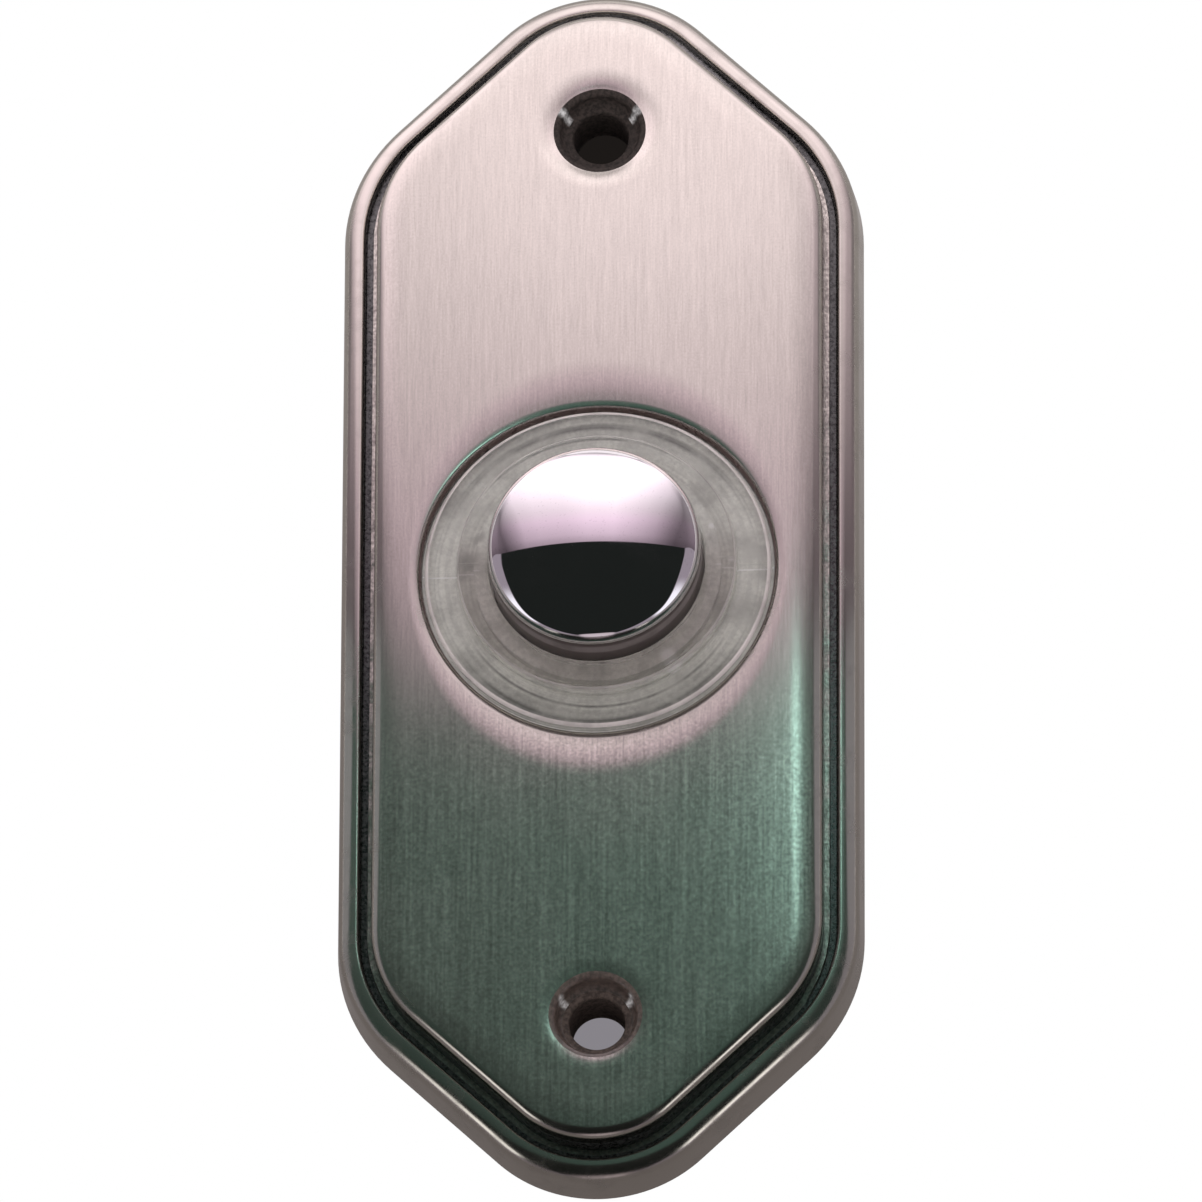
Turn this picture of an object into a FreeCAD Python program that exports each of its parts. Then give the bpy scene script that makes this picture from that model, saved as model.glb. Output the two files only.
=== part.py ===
"""Doorbell push button: a die-cast wall plate, a clear ring, a domed button and the switch behind it.

Sizes are in millimetres. +Z runs up the plate, the front faces -Y and the wall is the plane Y = 0.
A height is counted from the wall towards the front, so it lies at Y = -height. The origin is on the
button's axis, midway between the two screw holes. An inset is counted inwards from the plate's outline.
"""

import FreeCAD
import Part
import math
import os
import Sketcher

# Driving sizes: each can be changed by itself
SIZES = {
    # outline of the plate at the wall
    "plate_width": 44.45,
    "plate_length": 111.0,
    "slant_angle": 44.0,
    "apex_radius": 12.3,
    "shoulder_radius": 15.0,
    # section of the plate from the rim to the plateau
    "plateau_height": 6.35,
    "face_wall": 1.3,
    "rim_height": 4.05,
    "rim_width": 2.1,
    "rim_flank_round": 1.55,
    "rim_flank_draft": 5.0,
    "rim_inner_round": 0.4,
    "groove_floor_height": 2.95,
    "groove_wall": 1.55,
    "groove_width": 0.9,
    "ledge_height": 3.35,
    "ledge_width": 0.5,
    "ledge_end_distance": 17.5,
    "plateau_edge_round": 0.75,
    "plateau_side_wall": 1.4,
    "rear_face_width": 1.6,
    # screw holes in the plate
    "hole_end_distance": 14.225,
    "hole_radius": 2.45,
    "mouth_radius": 3.4,
    "mouth_depth": 2.1,
    "mouth_round": 0.55,
    "boss_wall": 2.3,
    # round opening in the plate
    "opening_round": 0.85,
    "dish_width": 1.9,
    "dish_depth": 0.12,
    # clear ring
    "ring_gap": 0.2,
    "ring_recess": 0.4,
    "ring_edge_round": 0.45,
    "hub_share": 0.8034,
    "hub_rise": 1.1,
    "hub_edge_round": 0.3,
    "hub_lip": 2.1,
    "ring_flange_width": 1.25,
    "ring_flange_margin": 0.4,
    "ring_flange_thickness": 0.95,
    # button
    "cap_share": 0.6034,
    "cap_gap": 0.3,
    "cap_wall": 1.4,
    "cap_skirt_height": 10.33,
    "cap_edge_round": 1.9,
    "dome_radius": 18.5,
    "cap_crown": 1.65,
    "travel": 1.4,
    "stop_gap": 0.1,
    "flange_overlap": 1.0,
    "flange_thickness": 0.9,
    "core_gap": 0.05,
    "stem_length": 0.85,
    "stem_wall": 0.9,
    "spring_crown": 0.75,
    # contact carried by the button, and its clip
    "disc_margin": 0.4,
    "disc_thickness": 0.4,
    "clip_gap": 0.5,
    "clip_width": 1.0,
    "clip_thickness": 0.3,
    "slip_gap": 0.05,
    # return spring
    "coil_gap": 0.3,
    "coil_wire": 0.5,
    "coil_turns": 5,
    "spigot_gap": 0.2,
    "spigot_rise": 1.2,
    # moulded base
    "base_side_gap": 0.925,
    "base_top_margin": 3.1,
    "base_bottom_margin": 4.7,
    "base_corner": 4.0,
    "base_thickness": 2.0,
    "well_gap": 0.3,
    "well_wall": 1.2,
    "well_floor_height": 1.6,
    "well_floor_thickness": 0.8,
    "ear_ring_gap": 0.7,
    "ear_width": 8.0,
    "ear_gap": 0.15,
    "ear_thickness": 2.0,
    # fixed contacts and their strips
    "contact_inset": 3.0,
    "contact_gap": 0.05,
    "rivet_head_radius": 1.4,
    "rivet_shank_radius": 0.75,
    "rivet_tail_radius": 1.15,
    "rivet_tail_thickness": 0.25,
    "strip_width": 4.0,
    "strip_thickness": 0.4,
    "strip_overhang": 1.9,
    # terminals
    "terminal_ear_distance": 5.0,
    "terminal_shank_radius": 1.45,
    "terminal_head_radius": 2.6,
    "terminal_head_height": 1.5,
    "terminal_hole_gap": 0.15,
    "washer_radius": 3.0,
    "washer_thickness": 0.4,
    "nut_size": 4.6,
    "nut_thickness": 1.2,
    "nut_gap": 0.1,
    "slot_width": 0.7,
    "slot_depth": 0.5,
    # screws that hold the base
    "post_ring_gap": 0.8,
    "base_screw_radius": 1.25,
    "base_screw_head_radius": 2.2,
    "base_screw_head_height": 1.2,
    "base_screw_skin": 0.5,
    "base_screw_tip_gap": 0.1,
    "base_screw_hole_gap": 0.2,
    "thread_gap": 0.03,
    "post_radius": 2.3,
    # lamps and their wiring
    "lamp_cup_gap": 0.35,
    "lamp_radius": 1.0,
    "lamp_hole_gap": 0.15,
    "lamp_collar_radius": 1.35,
    "lamp_collar_thickness": 0.4,
    "lamp_tip_round": 0.9,
    "lamp_tip_gap": 0.1,
    "wire_radius": 0.2,
    "wire_height": 1.15,
    "leg_offset": 0.6,
    "resistor_cup_distance": 2.3,
    "resistor_radius": 0.85,
    "resistor_length": 6.0,
    "resistor_waist": 0.15,
    "resistor_cap_length": 1.5,
    "resistor_lead_bend": 2.0,
    "strip_lead_bend": 1.0,
    # how far a cutting outline runs past the material
    "cut_margin": 1.0,
}


class Size:
    """A size with its worked-out number and the expression that ties it to the sheet."""

    def __init__(self, text, number):
        self.text = text
        self.number = number

    def _with(self, other, sign, number):
        other = as_size(other)
        return Size(f"({self.text} {sign} {other.text})", number(self.number, other.number))

    def __add__(self, other):
        return self._with(other, "+", lambda a, b: a + b)

    def __sub__(self, other):
        return self._with(other, "-", lambda a, b: a - b)

    def __mul__(self, other):
        return self._with(other, "*", lambda a, b: a * b)

    def __truediv__(self, other):
        return self._with(other, "/", lambda a, b: a / b)

    def __neg__(self):
        return Size(f"(0 - {self.text})", -self.number)


def as_size(value):
    return value if isinstance(value, Size) else Size(repr(float(value)), float(value))


def tangent(angle):
    return Size(f"tan({angle.text})", math.tan(math.radians(angle.number)))


def cosine(angle):
    return Size(f"cos({angle.text})", math.cos(math.radians(angle.number)))


def root(size):
    return Size(f"sqrt({size.text})", math.sqrt(size.number))


class Sheet:
    """The spreadsheet of driving sizes: sheet.name gives the size of that name."""

    def __init__(self, doc, sizes):
        self.cells = doc.addObject("Spreadsheet::Sheet", "sizes")
        self.names = sizes
        for row, (name, number) in enumerate(sizes.items(), 1):
            self.cells.set(f"A{row}", name)
            self.cells.set(f"B{row}", str(number))
            self.cells.setAlias(f"B{row}", name)
        doc.recompute()

    def __getattr__(self, name):
        return Size(f"sizes.{name}", float(self.names[name]))


# Distance under which two places count as the same
NEAR = 1e-4

doc = FreeCAD.newDocument("doorbell_button")
s = Sheet(doc, SIZES)

# Heights, radii and places that follow from the driving sizes
ZERO = as_size(0)
under_face = s.plateau_height - s.face_wall
under_groove = s.groove_floor_height - s.groove_wall
mouth_floor = s.plateau_height - s.mouth_depth
plateau_inset = s.rim_width + s.groove_width + s.ledge_width
hollow_inset = plateau_inset + s.plateau_side_wall
hole_place = s.plate_length / 2 - s.hole_end_distance
ledge_end = s.plate_length / 2 - s.ledge_end_distance

base_half = s.plate_width / 2 - hollow_inset - s.base_side_gap
ring_flange_radius = base_half - s.ring_flange_margin
ring_radius = ring_flange_radius - s.ring_flange_width
opening_radius = ring_radius + s.ring_gap
hub_radius = ring_radius * s.hub_share
cap_radius = ring_radius * s.cap_share
hub_bore = cap_radius + s.cap_gap
ring_face = s.plateau_height - s.ring_recess
hub_face = s.plateau_height + s.hub_rise
hub_under = hub_face - s.hub_lip
base_face = under_face - s.ring_flange_thickness
base_rear = base_face - s.base_thickness

flange_radius = hub_bore + s.flange_overlap
flange_top = hub_under - s.stop_gap
flange_under = flange_top - s.flange_thickness
well_radius = flange_radius + s.well_gap
cup_radius = well_radius + s.well_wall
cup_rear = s.well_floor_height - s.well_floor_thickness
cap_hollow = cap_radius - s.cap_wall
dome_slope = (cap_radius - s.cap_edge_round) / (s.dome_radius - s.cap_edge_round)
dome_fall = root(as_size(1) - dome_slope * dome_slope)
dome_centre = s.cap_skirt_height - (s.dome_radius - s.cap_edge_round) * dome_fall
cap_top = dome_centre + s.dome_radius
cap_ceiling = cap_top - s.cap_crown - s.cap_wall
core_top = cap_ceiling - s.core_gap
spring_top = core_top - s.spring_crown
stem_under = flange_under - s.stem_length
disc_radius = flange_radius - s.disc_margin
disc_under = flange_under - s.disc_thickness
rivet_top = disc_under - s.travel - s.contact_gap
contact_place = well_radius - s.contact_inset
clip_radius = contact_place - s.rivet_head_radius - s.clip_gap
stem_radius = clip_radius - s.clip_width
spring_bore = stem_radius - s.stem_wall
coil_radius = spring_bore - s.coil_gap - s.coil_wire / 2
spigot_radius = coil_radius - s.coil_wire / 2 - s.spigot_gap

base_screw_place = ring_flange_radius + s.post_ring_gap + s.post_radius
base_top = base_screw_place + s.base_top_margin
ear_top = ring_flange_radius + s.ear_ring_gap
terminal_place = ear_top + s.terminal_ear_distance
base_bottom = terminal_place + s.base_bottom_margin
ear_face = under_face - s.ear_gap
ear_rear = ear_face - s.ear_thickness
terminal_seat = ear_rear - s.strip_thickness - s.washer_thickness
nut_under = ear_face - s.nut_thickness
screw_hole_end = s.plateau_height - s.base_screw_skin
lamp_place = cup_radius + s.lamp_cup_gap + s.lamp_collar_radius
resistor_place = cup_radius + s.resistor_cup_distance


def origin_part(body, role):
    """The body's own origin plane or axis with that role."""
    return next(feature for feature in body.Origin.OriginFeatures if feature.Role == role)


def new_body(name):
    body = doc.addObject("PartDesign::Body", name)
    body.Label = name
    return body


def new_sketch(body, name, plane="XZ_Plane", offset=None):
    """A sketch on one of the body's origin planes. On XZ_Plane the offset is a height."""
    sketch = body.newObject("Sketcher::SketchObject", name)
    sketch.AttachmentSupport = [(origin_part(body, plane), "")]
    sketch.MapMode = "FlatFace"
    if offset is not None:
        sketch.setExpression("AttachmentOffset.Base.z", offset.text)
    return sketch


def constrain(sketch, kind, *where, size=None):
    """Adds a constraint and ties its value to the sheet."""
    if size is None:
        sketch.addConstraint(Sketcher.Constraint(kind, *where))
        return
    number = math.radians(size.number) if kind == "Angle" else size.number
    index = sketch.addConstraint(Sketcher.Constraint(kind, *where, number))
    sketch.setExpression(f"Constraints[{index}]", size.text)


def place_point(sketch, line, end, x, y):
    """Holds a point of the sketch at x, y from the origin."""
    constrain(sketch, "DistanceX", -1, 1, line, end, size=as_size(x))
    constrain(sketch, "DistanceY", -1, 1, line, end, size=as_size(y))


def vector(x, y):
    return FreeCAD.Vector(as_size(x).number, as_size(y).number, 0)


def add_circle(sketch, x, y, radius):
    circle = sketch.addGeometry(Part.Circle(vector(x, y), FreeCAD.Vector(0, 0, 1), radius.number), False)
    place_point(sketch, circle, 3, x, y)
    constrain(sketch, "Radius", circle, size=radius)
    return circle


def end_near(sketch, curve, point):
    """The number of the curve's end that lies nearer to a point."""
    near = sketch.getPoint(curve, 1).distanceToPoint(point)
    far = sketch.getPoint(curve, 2).distanceToPoint(point)
    return 1 if near < far else 2


def add_outline(sketch, corners, closed=True):
    """Straight lines through the corners, each an (x, y) or an (x, y, radius) that is rounded."""
    count = len(corners)
    points = [vector(corner[0], corner[1]) for corner in corners]
    starts, ends, arcs = {}, {}, {}
    for i, corner in enumerate(corners):
        starts[i] = ends[i] = points[i]
        if len(corner) == 3:
            back = (points[i - 1] - points[i]).normalize()
            ahead = (points[(i + 1) % count] - points[i]).normalize()
            half = math.acos(max(-1.0, min(1.0, back.dot(ahead)))) / 2
            reach = corner[2].number / math.tan(half)
            centre = points[i] + (back + ahead).normalize() * (corner[2].number / math.sin(half))
            ends[i] = points[i] + back * reach
            starts[i] = points[i] + ahead * reach
            middle = centre + (points[i] - centre).normalize() * corner[2].number
            arcs[i] = Part.Arc(ends[i], middle, starts[i])
    lines = {}
    for i in range(count if closed else count - 1):
        lines[i] = sketch.addGeometry(Part.LineSegment(starts[i], ends[(i + 1) % count]), False)
    for i, corner in enumerate(corners):
        before = lines.get((i - 1) % count)
        after = lines.get(i)
        if i not in arcs:
            if before is not None and after is not None:
                constrain(sketch, "Coincident", before, 2, after, 1)
            place_point(sketch, *((after, 1) if after is not None else (before, 2)), corner[0], corner[1])
            continue
        arc = sketch.addGeometry(arcs[i], False)
        first = end_near(sketch, arc, ends[i])
        corner_point = sketch.addGeometry(Part.Point(points[i]), True)
        place_point(sketch, corner_point, 1, corner[0], corner[1])
        constrain(sketch, "PointOnObject", corner_point, 1, before)
        constrain(sketch, "PointOnObject", corner_point, 1, after)
        constrain(sketch, "Tangent", before, 2, arc, first)
        constrain(sketch, "Tangent", after, 1, arc, 3 - first)
        constrain(sketch, "Radius", arc, size=corner[2])


def feature(body, kind, name, profile=None, **sizes):
    """A feature of the body. Sizes given by name are tied to the sheet, other values are set."""
    made = body.newObject(f"PartDesign::{kind}", name)
    if profile is not None:
        made.Profile = (profile, [""])
    for key, value in sizes.items():
        if isinstance(value, Size):
            setattr(made, key, value.number)
            made.setExpression(key, value.text)
        else:
            setattr(made, key, value)
    if profile is not None:
        profile.Visibility = False
    doc.recompute()
    return made


def revolve(body, kind, name, corners):
    """A Revolution or Groove about the Y axis. Corners are (radius, height) or (radius, height, round)."""
    sketch = new_sketch(body, f"{name}_profile", "XY_Plane")
    add_outline(sketch, [(as_size(c[0]), -as_size(c[1]), *c[2:]) for c in corners])
    return feature(body, kind, name, sketch, ReferenceAxis=(sketch, ["V_Axis"]), Angle=360)


def edges_at(made, height, wanted=None):
    """Names of the edges that lie at a height, or of those among them that pass a test."""
    level = -height.number
    names = []
    for i, edge in enumerate(made.Shape.Edges, 1):
        box = edge.BoundBox
        if abs(box.YMin - level) > NEAR or abs(box.YMax - level) > NEAR:
            continue
        if wanted is None or wanted(edge):
            names.append(f"Edge{i}")
    return names


def round_edges(body, name, base, edges, radius):
    return feature(body, "Fillet", name, Base=(base, edges), Radius=radius)


def rectangle(left, right, low, high):
    return [(left, low), (right, low), (right, high), (left, high)]


def plate_outline(sketch, inset):
    """The plate's long hexagon, drawn at an inset from its outline at the wall."""
    side = s.plate_width / 2 - inset
    apex_round = s.apex_radius - inset
    side_round = s.shoulder_radius - inset
    apex = s.plate_length / 2 - s.apex_radius + apex_round / cosine(s.slant_angle)
    shoulder = apex - side * tangent(s.slant_angle)
    add_outline(sketch, [
        (side, -shoulder, side_round),
        (side, shoulder, side_round),
        (ZERO, apex, apex_round),
        (-side, shoulder, side_round),
        (-side, -shoulder, side_round),
        (ZERO, -apex, apex_round),
    ])


def plate_sketch(body, name, inset, height):
    sketch = new_sketch(body, name, offset=height)
    plate_outline(sketch, inset)
    return sketch


def ledge_sketch(body):
    """The cast ledge's outline: the long sides and part of each shoulder, cut off square at both ends."""
    inset = s.rim_width + s.groove_width
    side = s.plate_width / 2 - inset
    radius = s.shoulder_radius - inset
    half_slant = (as_size(90) - s.slant_angle) / 2
    outer_apex = s.plate_length / 2 - s.apex_radius + s.apex_radius / cosine(s.slant_angle)
    outer_shoulder = outer_apex - s.plate_width / 2 * tangent(s.slant_angle)
    arc_start = outer_shoulder - s.shoulder_radius * tangent(half_slant)
    centre = side - radius
    turn = math.asin((ledge_end - arc_start).number / radius.number)
    sketch = new_sketch(body, "ledge_outline", offset=s.groove_floor_height)

    def on_arc(right, top, angle):
        return FreeCAD.Vector(right * (centre.number + radius.number * math.cos(angle)),
                              top * (arc_start.number + radius.number * math.sin(angle)), 0)

    ends = []
    for right, top in ((1, -1), (1, 1), (-1, 1), (-1, -1)):
        points = [on_arc(right, top, angle) for angle in (0, turn / 2, turn)]
        arc = sketch.addGeometry(Part.Arc(*points), False)
        constrain(sketch, "DistanceX", -1, 1, arc, 3, size=centre * right)
        constrain(sketch, "DistanceY", -1, 1, arc, 3, size=arc_start * top)
        constrain(sketch, "Radius", arc, size=radius)
        ends.append((arc, end_near(sketch, arc, points[0]), right, top))
    for first, last, at_side in ((0, 1, True), (1, 2, False), (2, 3, True), (3, 0, False)):
        arc, on_side, right, top = ends[first]
        next_arc, next_on_side = ends[last][:2]
        here = on_side if at_side else 3 - on_side
        there = next_on_side if at_side else 3 - next_on_side
        line = sketch.addGeometry(
            Part.LineSegment(sketch.getPoint(arc, here), sketch.getPoint(next_arc, there)), False)
        constrain(sketch, "Coincident", line, 1, arc, here)
        constrain(sketch, "Coincident", line, 2, next_arc, there)
        if at_side:
            constrain(sketch, "DistanceY", -1, 1, line, 1, size=arc_start * top)
            constrain(sketch, "DistanceY", -1, 1, line, 2, size=arc_start * -top)
        else:
            constrain(sketch, "DistanceY", -1, 1, line, 1, size=ledge_end * top)
            constrain(sketch, "DistanceY", -1, 1, line, 2, size=ledge_end * top)
    return sketch


def two_holes(body, name, height, radius):
    """A sketch of two circles at the screw holes."""
    sketch = new_sketch(body, name, offset=height)
    for place in (hole_place, -hole_place):
        add_circle(sketch, ZERO, place, radius)
    return sketch


def within(reach):
    """A test for edges that reach no further than that from the plate's middle line."""
    limit = reach.number + NEAR
    return lambda edge: edge.BoundBox.XMax < limit and edge.BoundBox.XMin > -limit


def of_radius(radius):
    """A test for round edges of that radius."""
    return lambda edge: isinstance(edge.Curve, Part.Circle) and abs(edge.Curve.Radius - radius.number) < NEAR


def faceplate():
    """The die casting: drafted rim with a rolled bead, groove, side ledges, plateau and hollow back."""
    body = new_body("faceplate")
    outline = plate_sketch(body, "rim_outline", ZERO, ZERO)
    rim = feature(body, "Pad", "rim_block", outline, Length=s.rim_height, TaperAngle=-s.rim_flank_draft)
    round_edges(body, "rim_flank", rim, edges_at(rim, s.rim_height), s.rim_flank_round)
    tray = plate_sketch(body, "tray_outline", s.rim_width, s.rim_height)
    tray_cut = feature(body, "Pocket", "tray", tray, Length=s.rim_height - s.groove_floor_height)
    inside = within(s.plate_width / 2 - s.rim_width)
    round_edges(body, "rim_bead", tray_cut, edges_at(tray_cut, s.rim_height, inside), s.rim_inner_round)
    feature(body, "Pad", "ledge", ledge_sketch(body), Length=s.ledge_height - s.groove_floor_height)
    top = plate_sketch(body, "plateau_outline", plateau_inset, s.groove_floor_height)
    plateau = feature(body, "Pad", "plateau", top, Length=s.plateau_height - s.groove_floor_height)
    round_edges(body, "plateau_edge", plateau, edges_at(plateau, s.plateau_height), s.plateau_edge_round)

    rim_hollow = plate_sketch(body, "rim_hollow_outline", s.rear_face_width, ZERO)
    feature(body, "Pocket", "rim_hollow", rim_hollow, Length=under_groove, Reversed=True)
    hollow = plate_sketch(body, "hollow_outline", hollow_inset, ZERO)
    feature(body, "Pocket", "hollow", hollow, Length=under_face, Reversed=True)
    bosses = two_holes(body, "boss_circles", ZERO, s.hole_radius + s.boss_wall)
    feature(body, "Pad", "bosses", bosses, Length=under_face)
    posts = new_sketch(body, "post_circles", offset=base_face)
    for place in (base_screw_place, -base_screw_place):
        add_circle(posts, ZERO, place, s.post_radius)
    feature(body, "Pad", "posts", posts, Length=s.ring_flange_thickness)

    dish_edge = opening_radius + s.opening_round
    dish_slope = s.dish_depth / s.dish_width
    lip = s.plateau_height - s.dish_depth - dish_slope * s.opening_round
    revolve(body, "Groove", "dish", [
        (ZERO, s.plateau_height + s.cut_margin),
        (dish_edge + s.dish_width, s.plateau_height + s.cut_margin),
        (dish_edge + s.dish_width, s.plateau_height),
        (opening_radius, lip),
        (ZERO, lip),
    ])
    opening = new_sketch(body, "opening_circle", offset=s.plateau_height)
    add_circle(opening, ZERO, ZERO, opening_radius)
    opened = feature(body, "Pocket", "opening", opening, Length=s.plateau_height)
    round_edges(body, "opening_lip", opened, edges_at(opened, lip), s.opening_round)

    mouths = two_holes(body, "mouth_circles", s.plateau_height, s.mouth_radius)
    mouth = feature(body, "Pocket", "mouths", mouths, Length=s.mouth_depth)
    rims = edges_at(mouth, s.plateau_height, of_radius(s.mouth_radius))
    round_edges(body, "mouth_lip", mouth, rims, s.mouth_round)
    feature(body, "Pocket", "screw_holes", two_holes(body, "hole_circles", mouth_floor, s.hole_radius),
            Length=mouth_floor)
    pilots = new_sketch(body, "pilot_circles", offset=base_face)
    for place in (base_screw_place, -base_screw_place):
        add_circle(pilots, ZERO, place, s.base_screw_radius + s.thread_gap)
    feature(body, "Pocket", "pilot_holes", pilots, Length=screw_hole_end - base_face, Reversed=True)
    return body


def lens_ring():
    """The clear ring: outer annulus, raised hub round the button, and a flange behind the plate."""
    body = new_body("lens_ring")
    revolve(body, "Revolution", "ring", [
        (hub_bore, hub_under),
        (hub_bore, hub_face, s.hub_edge_round),
        (hub_radius, hub_face, s.hub_edge_round),
        (hub_radius, ring_face),
        (ring_radius, ring_face, s.ring_edge_round),
        (ring_radius, under_face),
        (ring_flange_radius, under_face),
        (ring_flange_radius, base_face),
        (well_radius, base_face),
        (well_radius, hub_under),
    ])
    return body


def button_cap():
    """The domed cap: a straight skirt, a rounded edge and a shallow dome, hollow for the core."""
    body = new_body("button_cap")
    sketch = new_sketch(body, "cap_profile", "XY_Plane")
    join = (cap_radius - s.cap_edge_round + s.cap_edge_round * dome_slope,
            s.cap_skirt_height + s.cap_edge_round * dome_fall)
    corners = [(cap_hollow, flange_top), (cap_radius, flange_top), (cap_radius, s.cap_skirt_height),
               join, (ZERO, cap_top), (ZERO, cap_ceiling), (cap_hollow, cap_ceiling)]
    flat = [vector(x, -y) for x, y in corners]
    edge_centre = vector(cap_radius - s.cap_edge_round, -s.cap_skirt_height)
    dome_middle = vector(ZERO, -dome_centre)

    def bulge(centre, first, last, radius):
        return centre + ((first - centre) + (last - centre)).normalize() * radius.number

    lines = {}
    for i in (0, 1, 4, 5, 6):
        lines[i] = sketch.addGeometry(Part.LineSegment(flat[i], flat[(i + 1) % 7]), False)
    edge = sketch.addGeometry(
        Part.Arc(flat[2], bulge(edge_centre, flat[2], flat[3], s.cap_edge_round), flat[3]), False)
    dome = sketch.addGeometry(
        Part.Arc(flat[3], bulge(dome_middle, flat[3], flat[4], s.dome_radius), flat[4]), False)
    for before, after in ((0, 1), (4, 5), (5, 6), (6, 0)):
        constrain(sketch, "Coincident", lines[before], 2, lines[after], 1)
    for i in (0, 1, 5, 6):
        place_point(sketch, lines[i], 1, corners[i][0], -corners[i][1])

    constrain(sketch, "Tangent", lines[1], 2, edge, end_near(sketch, edge, flat[2]))
    constrain(sketch, "Tangent", edge, end_near(sketch, edge, flat[3]), dome, end_near(sketch, dome, flat[3]))
    constrain(sketch, "Coincident", dome, end_near(sketch, dome, flat[4]), lines[4], 1)
    place_point(sketch, edge, 3, cap_radius - s.cap_edge_round, -s.cap_skirt_height)
    constrain(sketch, "PointOnObject", dome, 3, -2)
    constrain(sketch, "PointOnObject", dome, end_near(sketch, dome, flat[4]), -2)
    constrain(sketch, "Radius", edge, size=s.cap_edge_round)
    constrain(sketch, "Radius", dome, size=s.dome_radius)
    feature(body, "Revolution", "cap", sketch, ReferenceAxis=(sketch, ["V_Axis"]), Angle=360)
    return body


def button_plunger():
    """The moulded core under the cap: stop flange, short stem and a blind bore for the spring."""
    body = new_body("button_plunger")
    core_radius = cap_hollow - s.core_gap
    revolve(body, "Revolution", "core", [
        (spring_bore, stem_under),
        (stem_radius, stem_under),
        (stem_radius, flange_under),
        (flange_radius, flange_under),
        (flange_radius, flange_top),
        (core_radius, flange_top),
        (core_radius, core_top),
        (ZERO, core_top),
        (ZERO, spring_top),
        (spring_bore, spring_top),
    ])
    return body


def ring_piece(name, inner, outer, low, high):
    """A flat washer about the button's axis."""
    body = new_body(name)
    revolve(body, "Revolution", f"{name}_ring", [(inner, low), (outer, low), (outer, high), (inner, high)])
    return body


def return_spring():
    """A coil spring from the well's floor to the top of the core's bore, each turn two tilted half rings."""
    body = new_body("return_spring")
    low = s.well_floor_height + s.coil_wire / 2 + s.core_gap
    high = spring_top - s.coil_wire / 2 - s.core_gap
    pitch = (high - low) / s.coil_turns
    halves = []
    for name, start, across in (("near_half", low, 1), ("far_half", low + pitch / 2, -1)):
        middle = start + pitch / 4
        sketch = new_sketch(body, f"{name}_wire", "XY_Plane")
        add_circle(sketch, coil_radius * across, -start, s.coil_wire / 2)
        tilted = (pitch / -4 * across, coil_radius - middle)
        axis = sketch.addGeometry(Part.LineSegment(vector(ZERO, -middle), vector(*tilted)), True)
        place_point(sketch, axis, 1, ZERO, -middle)
        place_point(sketch, axis, 2, *tilted)
        halves.append(feature(body, "Revolution", name, sketch, ReferenceAxis=(sketch, ["Axis0"]), Angle=180))
    body.Tip = feature(body, "LinearPattern", "coil", Originals=halves, Direction=(sketch, ["V_Axis"]),
                       Reversed=True, Length=high - low - pitch, Occurrences=int(s.coil_turns.number))
    doc.recompute()
    return body


def switch_base():
    """The moulded base: plate, well and cup, spring spigot, terminal ears and lamp seats."""
    body = new_body("switch_base")
    plate = new_sketch(body, "base_outline", offset=base_rear)
    add_outline(plate, [
        (base_half, -base_bottom, s.base_corner),
        (base_half, base_top, s.base_corner),
        (-base_half, base_top, s.base_corner),
        (-base_half, -base_bottom, s.base_corner),
    ])
    feature(body, "Pad", "base_plate", plate, Length=s.base_thickness)
    cup = new_sketch(body, "cup_circle", offset=cup_rear)
    add_circle(cup, ZERO, ZERO, cup_radius)
    feature(body, "Pad", "cup", cup, Length=base_rear - cup_rear)
    ears = new_sketch(body, "ear_outlines", offset=base_face)
    recesses = new_sketch(body, "ear_recesses", offset=ZERO)
    for side in (1, -1):
        near = (contact_place - s.ear_width / 2) * side
        far = (contact_place + s.ear_width / 2) * side
        add_outline(ears, rectangle(near, far, -base_bottom, -ear_top))
        add_outline(recesses, rectangle(near, far, -(base_bottom + s.cut_margin), -ear_top))
    feature(body, "Pad", "ears", ears, Length=ear_face - base_face)
    feature(body, "Pocket", "recesses", recesses, Length=ear_rear, Reversed=True)
    well = new_sketch(body, "well_circle", offset=base_face)
    add_circle(well, ZERO, ZERO, well_radius)
    feature(body, "Pocket", "well", well, Length=base_face - s.well_floor_height)
    spigot = new_sketch(body, "spigot_circle", offset=s.well_floor_height)
    add_circle(spigot, ZERO, ZERO, spigot_radius)
    feature(body, "Pad", "spigot", spigot, Length=s.spigot_rise)

    holes = new_sketch(body, "hole_circles", offset=ear_face)
    terminal_hole = s.terminal_shank_radius + s.terminal_hole_gap
    for side in (1, -1):
        add_circle(holes, contact_place * side, ZERO, s.rivet_shank_radius + s.thread_gap)
        add_circle(holes, contact_place * side, -terminal_place, terminal_hole)
        add_circle(holes, lamp_place * side, ZERO, s.lamp_radius + s.lamp_hole_gap)
        add_circle(holes, ZERO, base_screw_place * side, s.base_screw_radius + s.base_screw_hole_gap)
    feature(body, "Pocket", "holes", holes, Length=ear_face)
    pockets = new_sketch(body, "nut_pockets", offset=ear_face)
    reach = s.nut_size / 2 + s.nut_gap
    for side in (1, -1):
        middle = contact_place * side
        add_outline(pockets, rectangle(middle - reach, middle + reach,
                                       -terminal_place - reach, -terminal_place + reach))
    feature(body, "Pocket", "nut_seats", pockets, Length=ear_face - nut_under)
    return body


def set_place(body, x, z):
    """Moves a body across the plate, with the place tied to the sheet."""
    x, z = as_size(x), as_size(z)
    body.setExpression("Placement.Base.x", x.text)
    body.setExpression("Placement.Base.z", z.text)
    doc.recompute()


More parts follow.
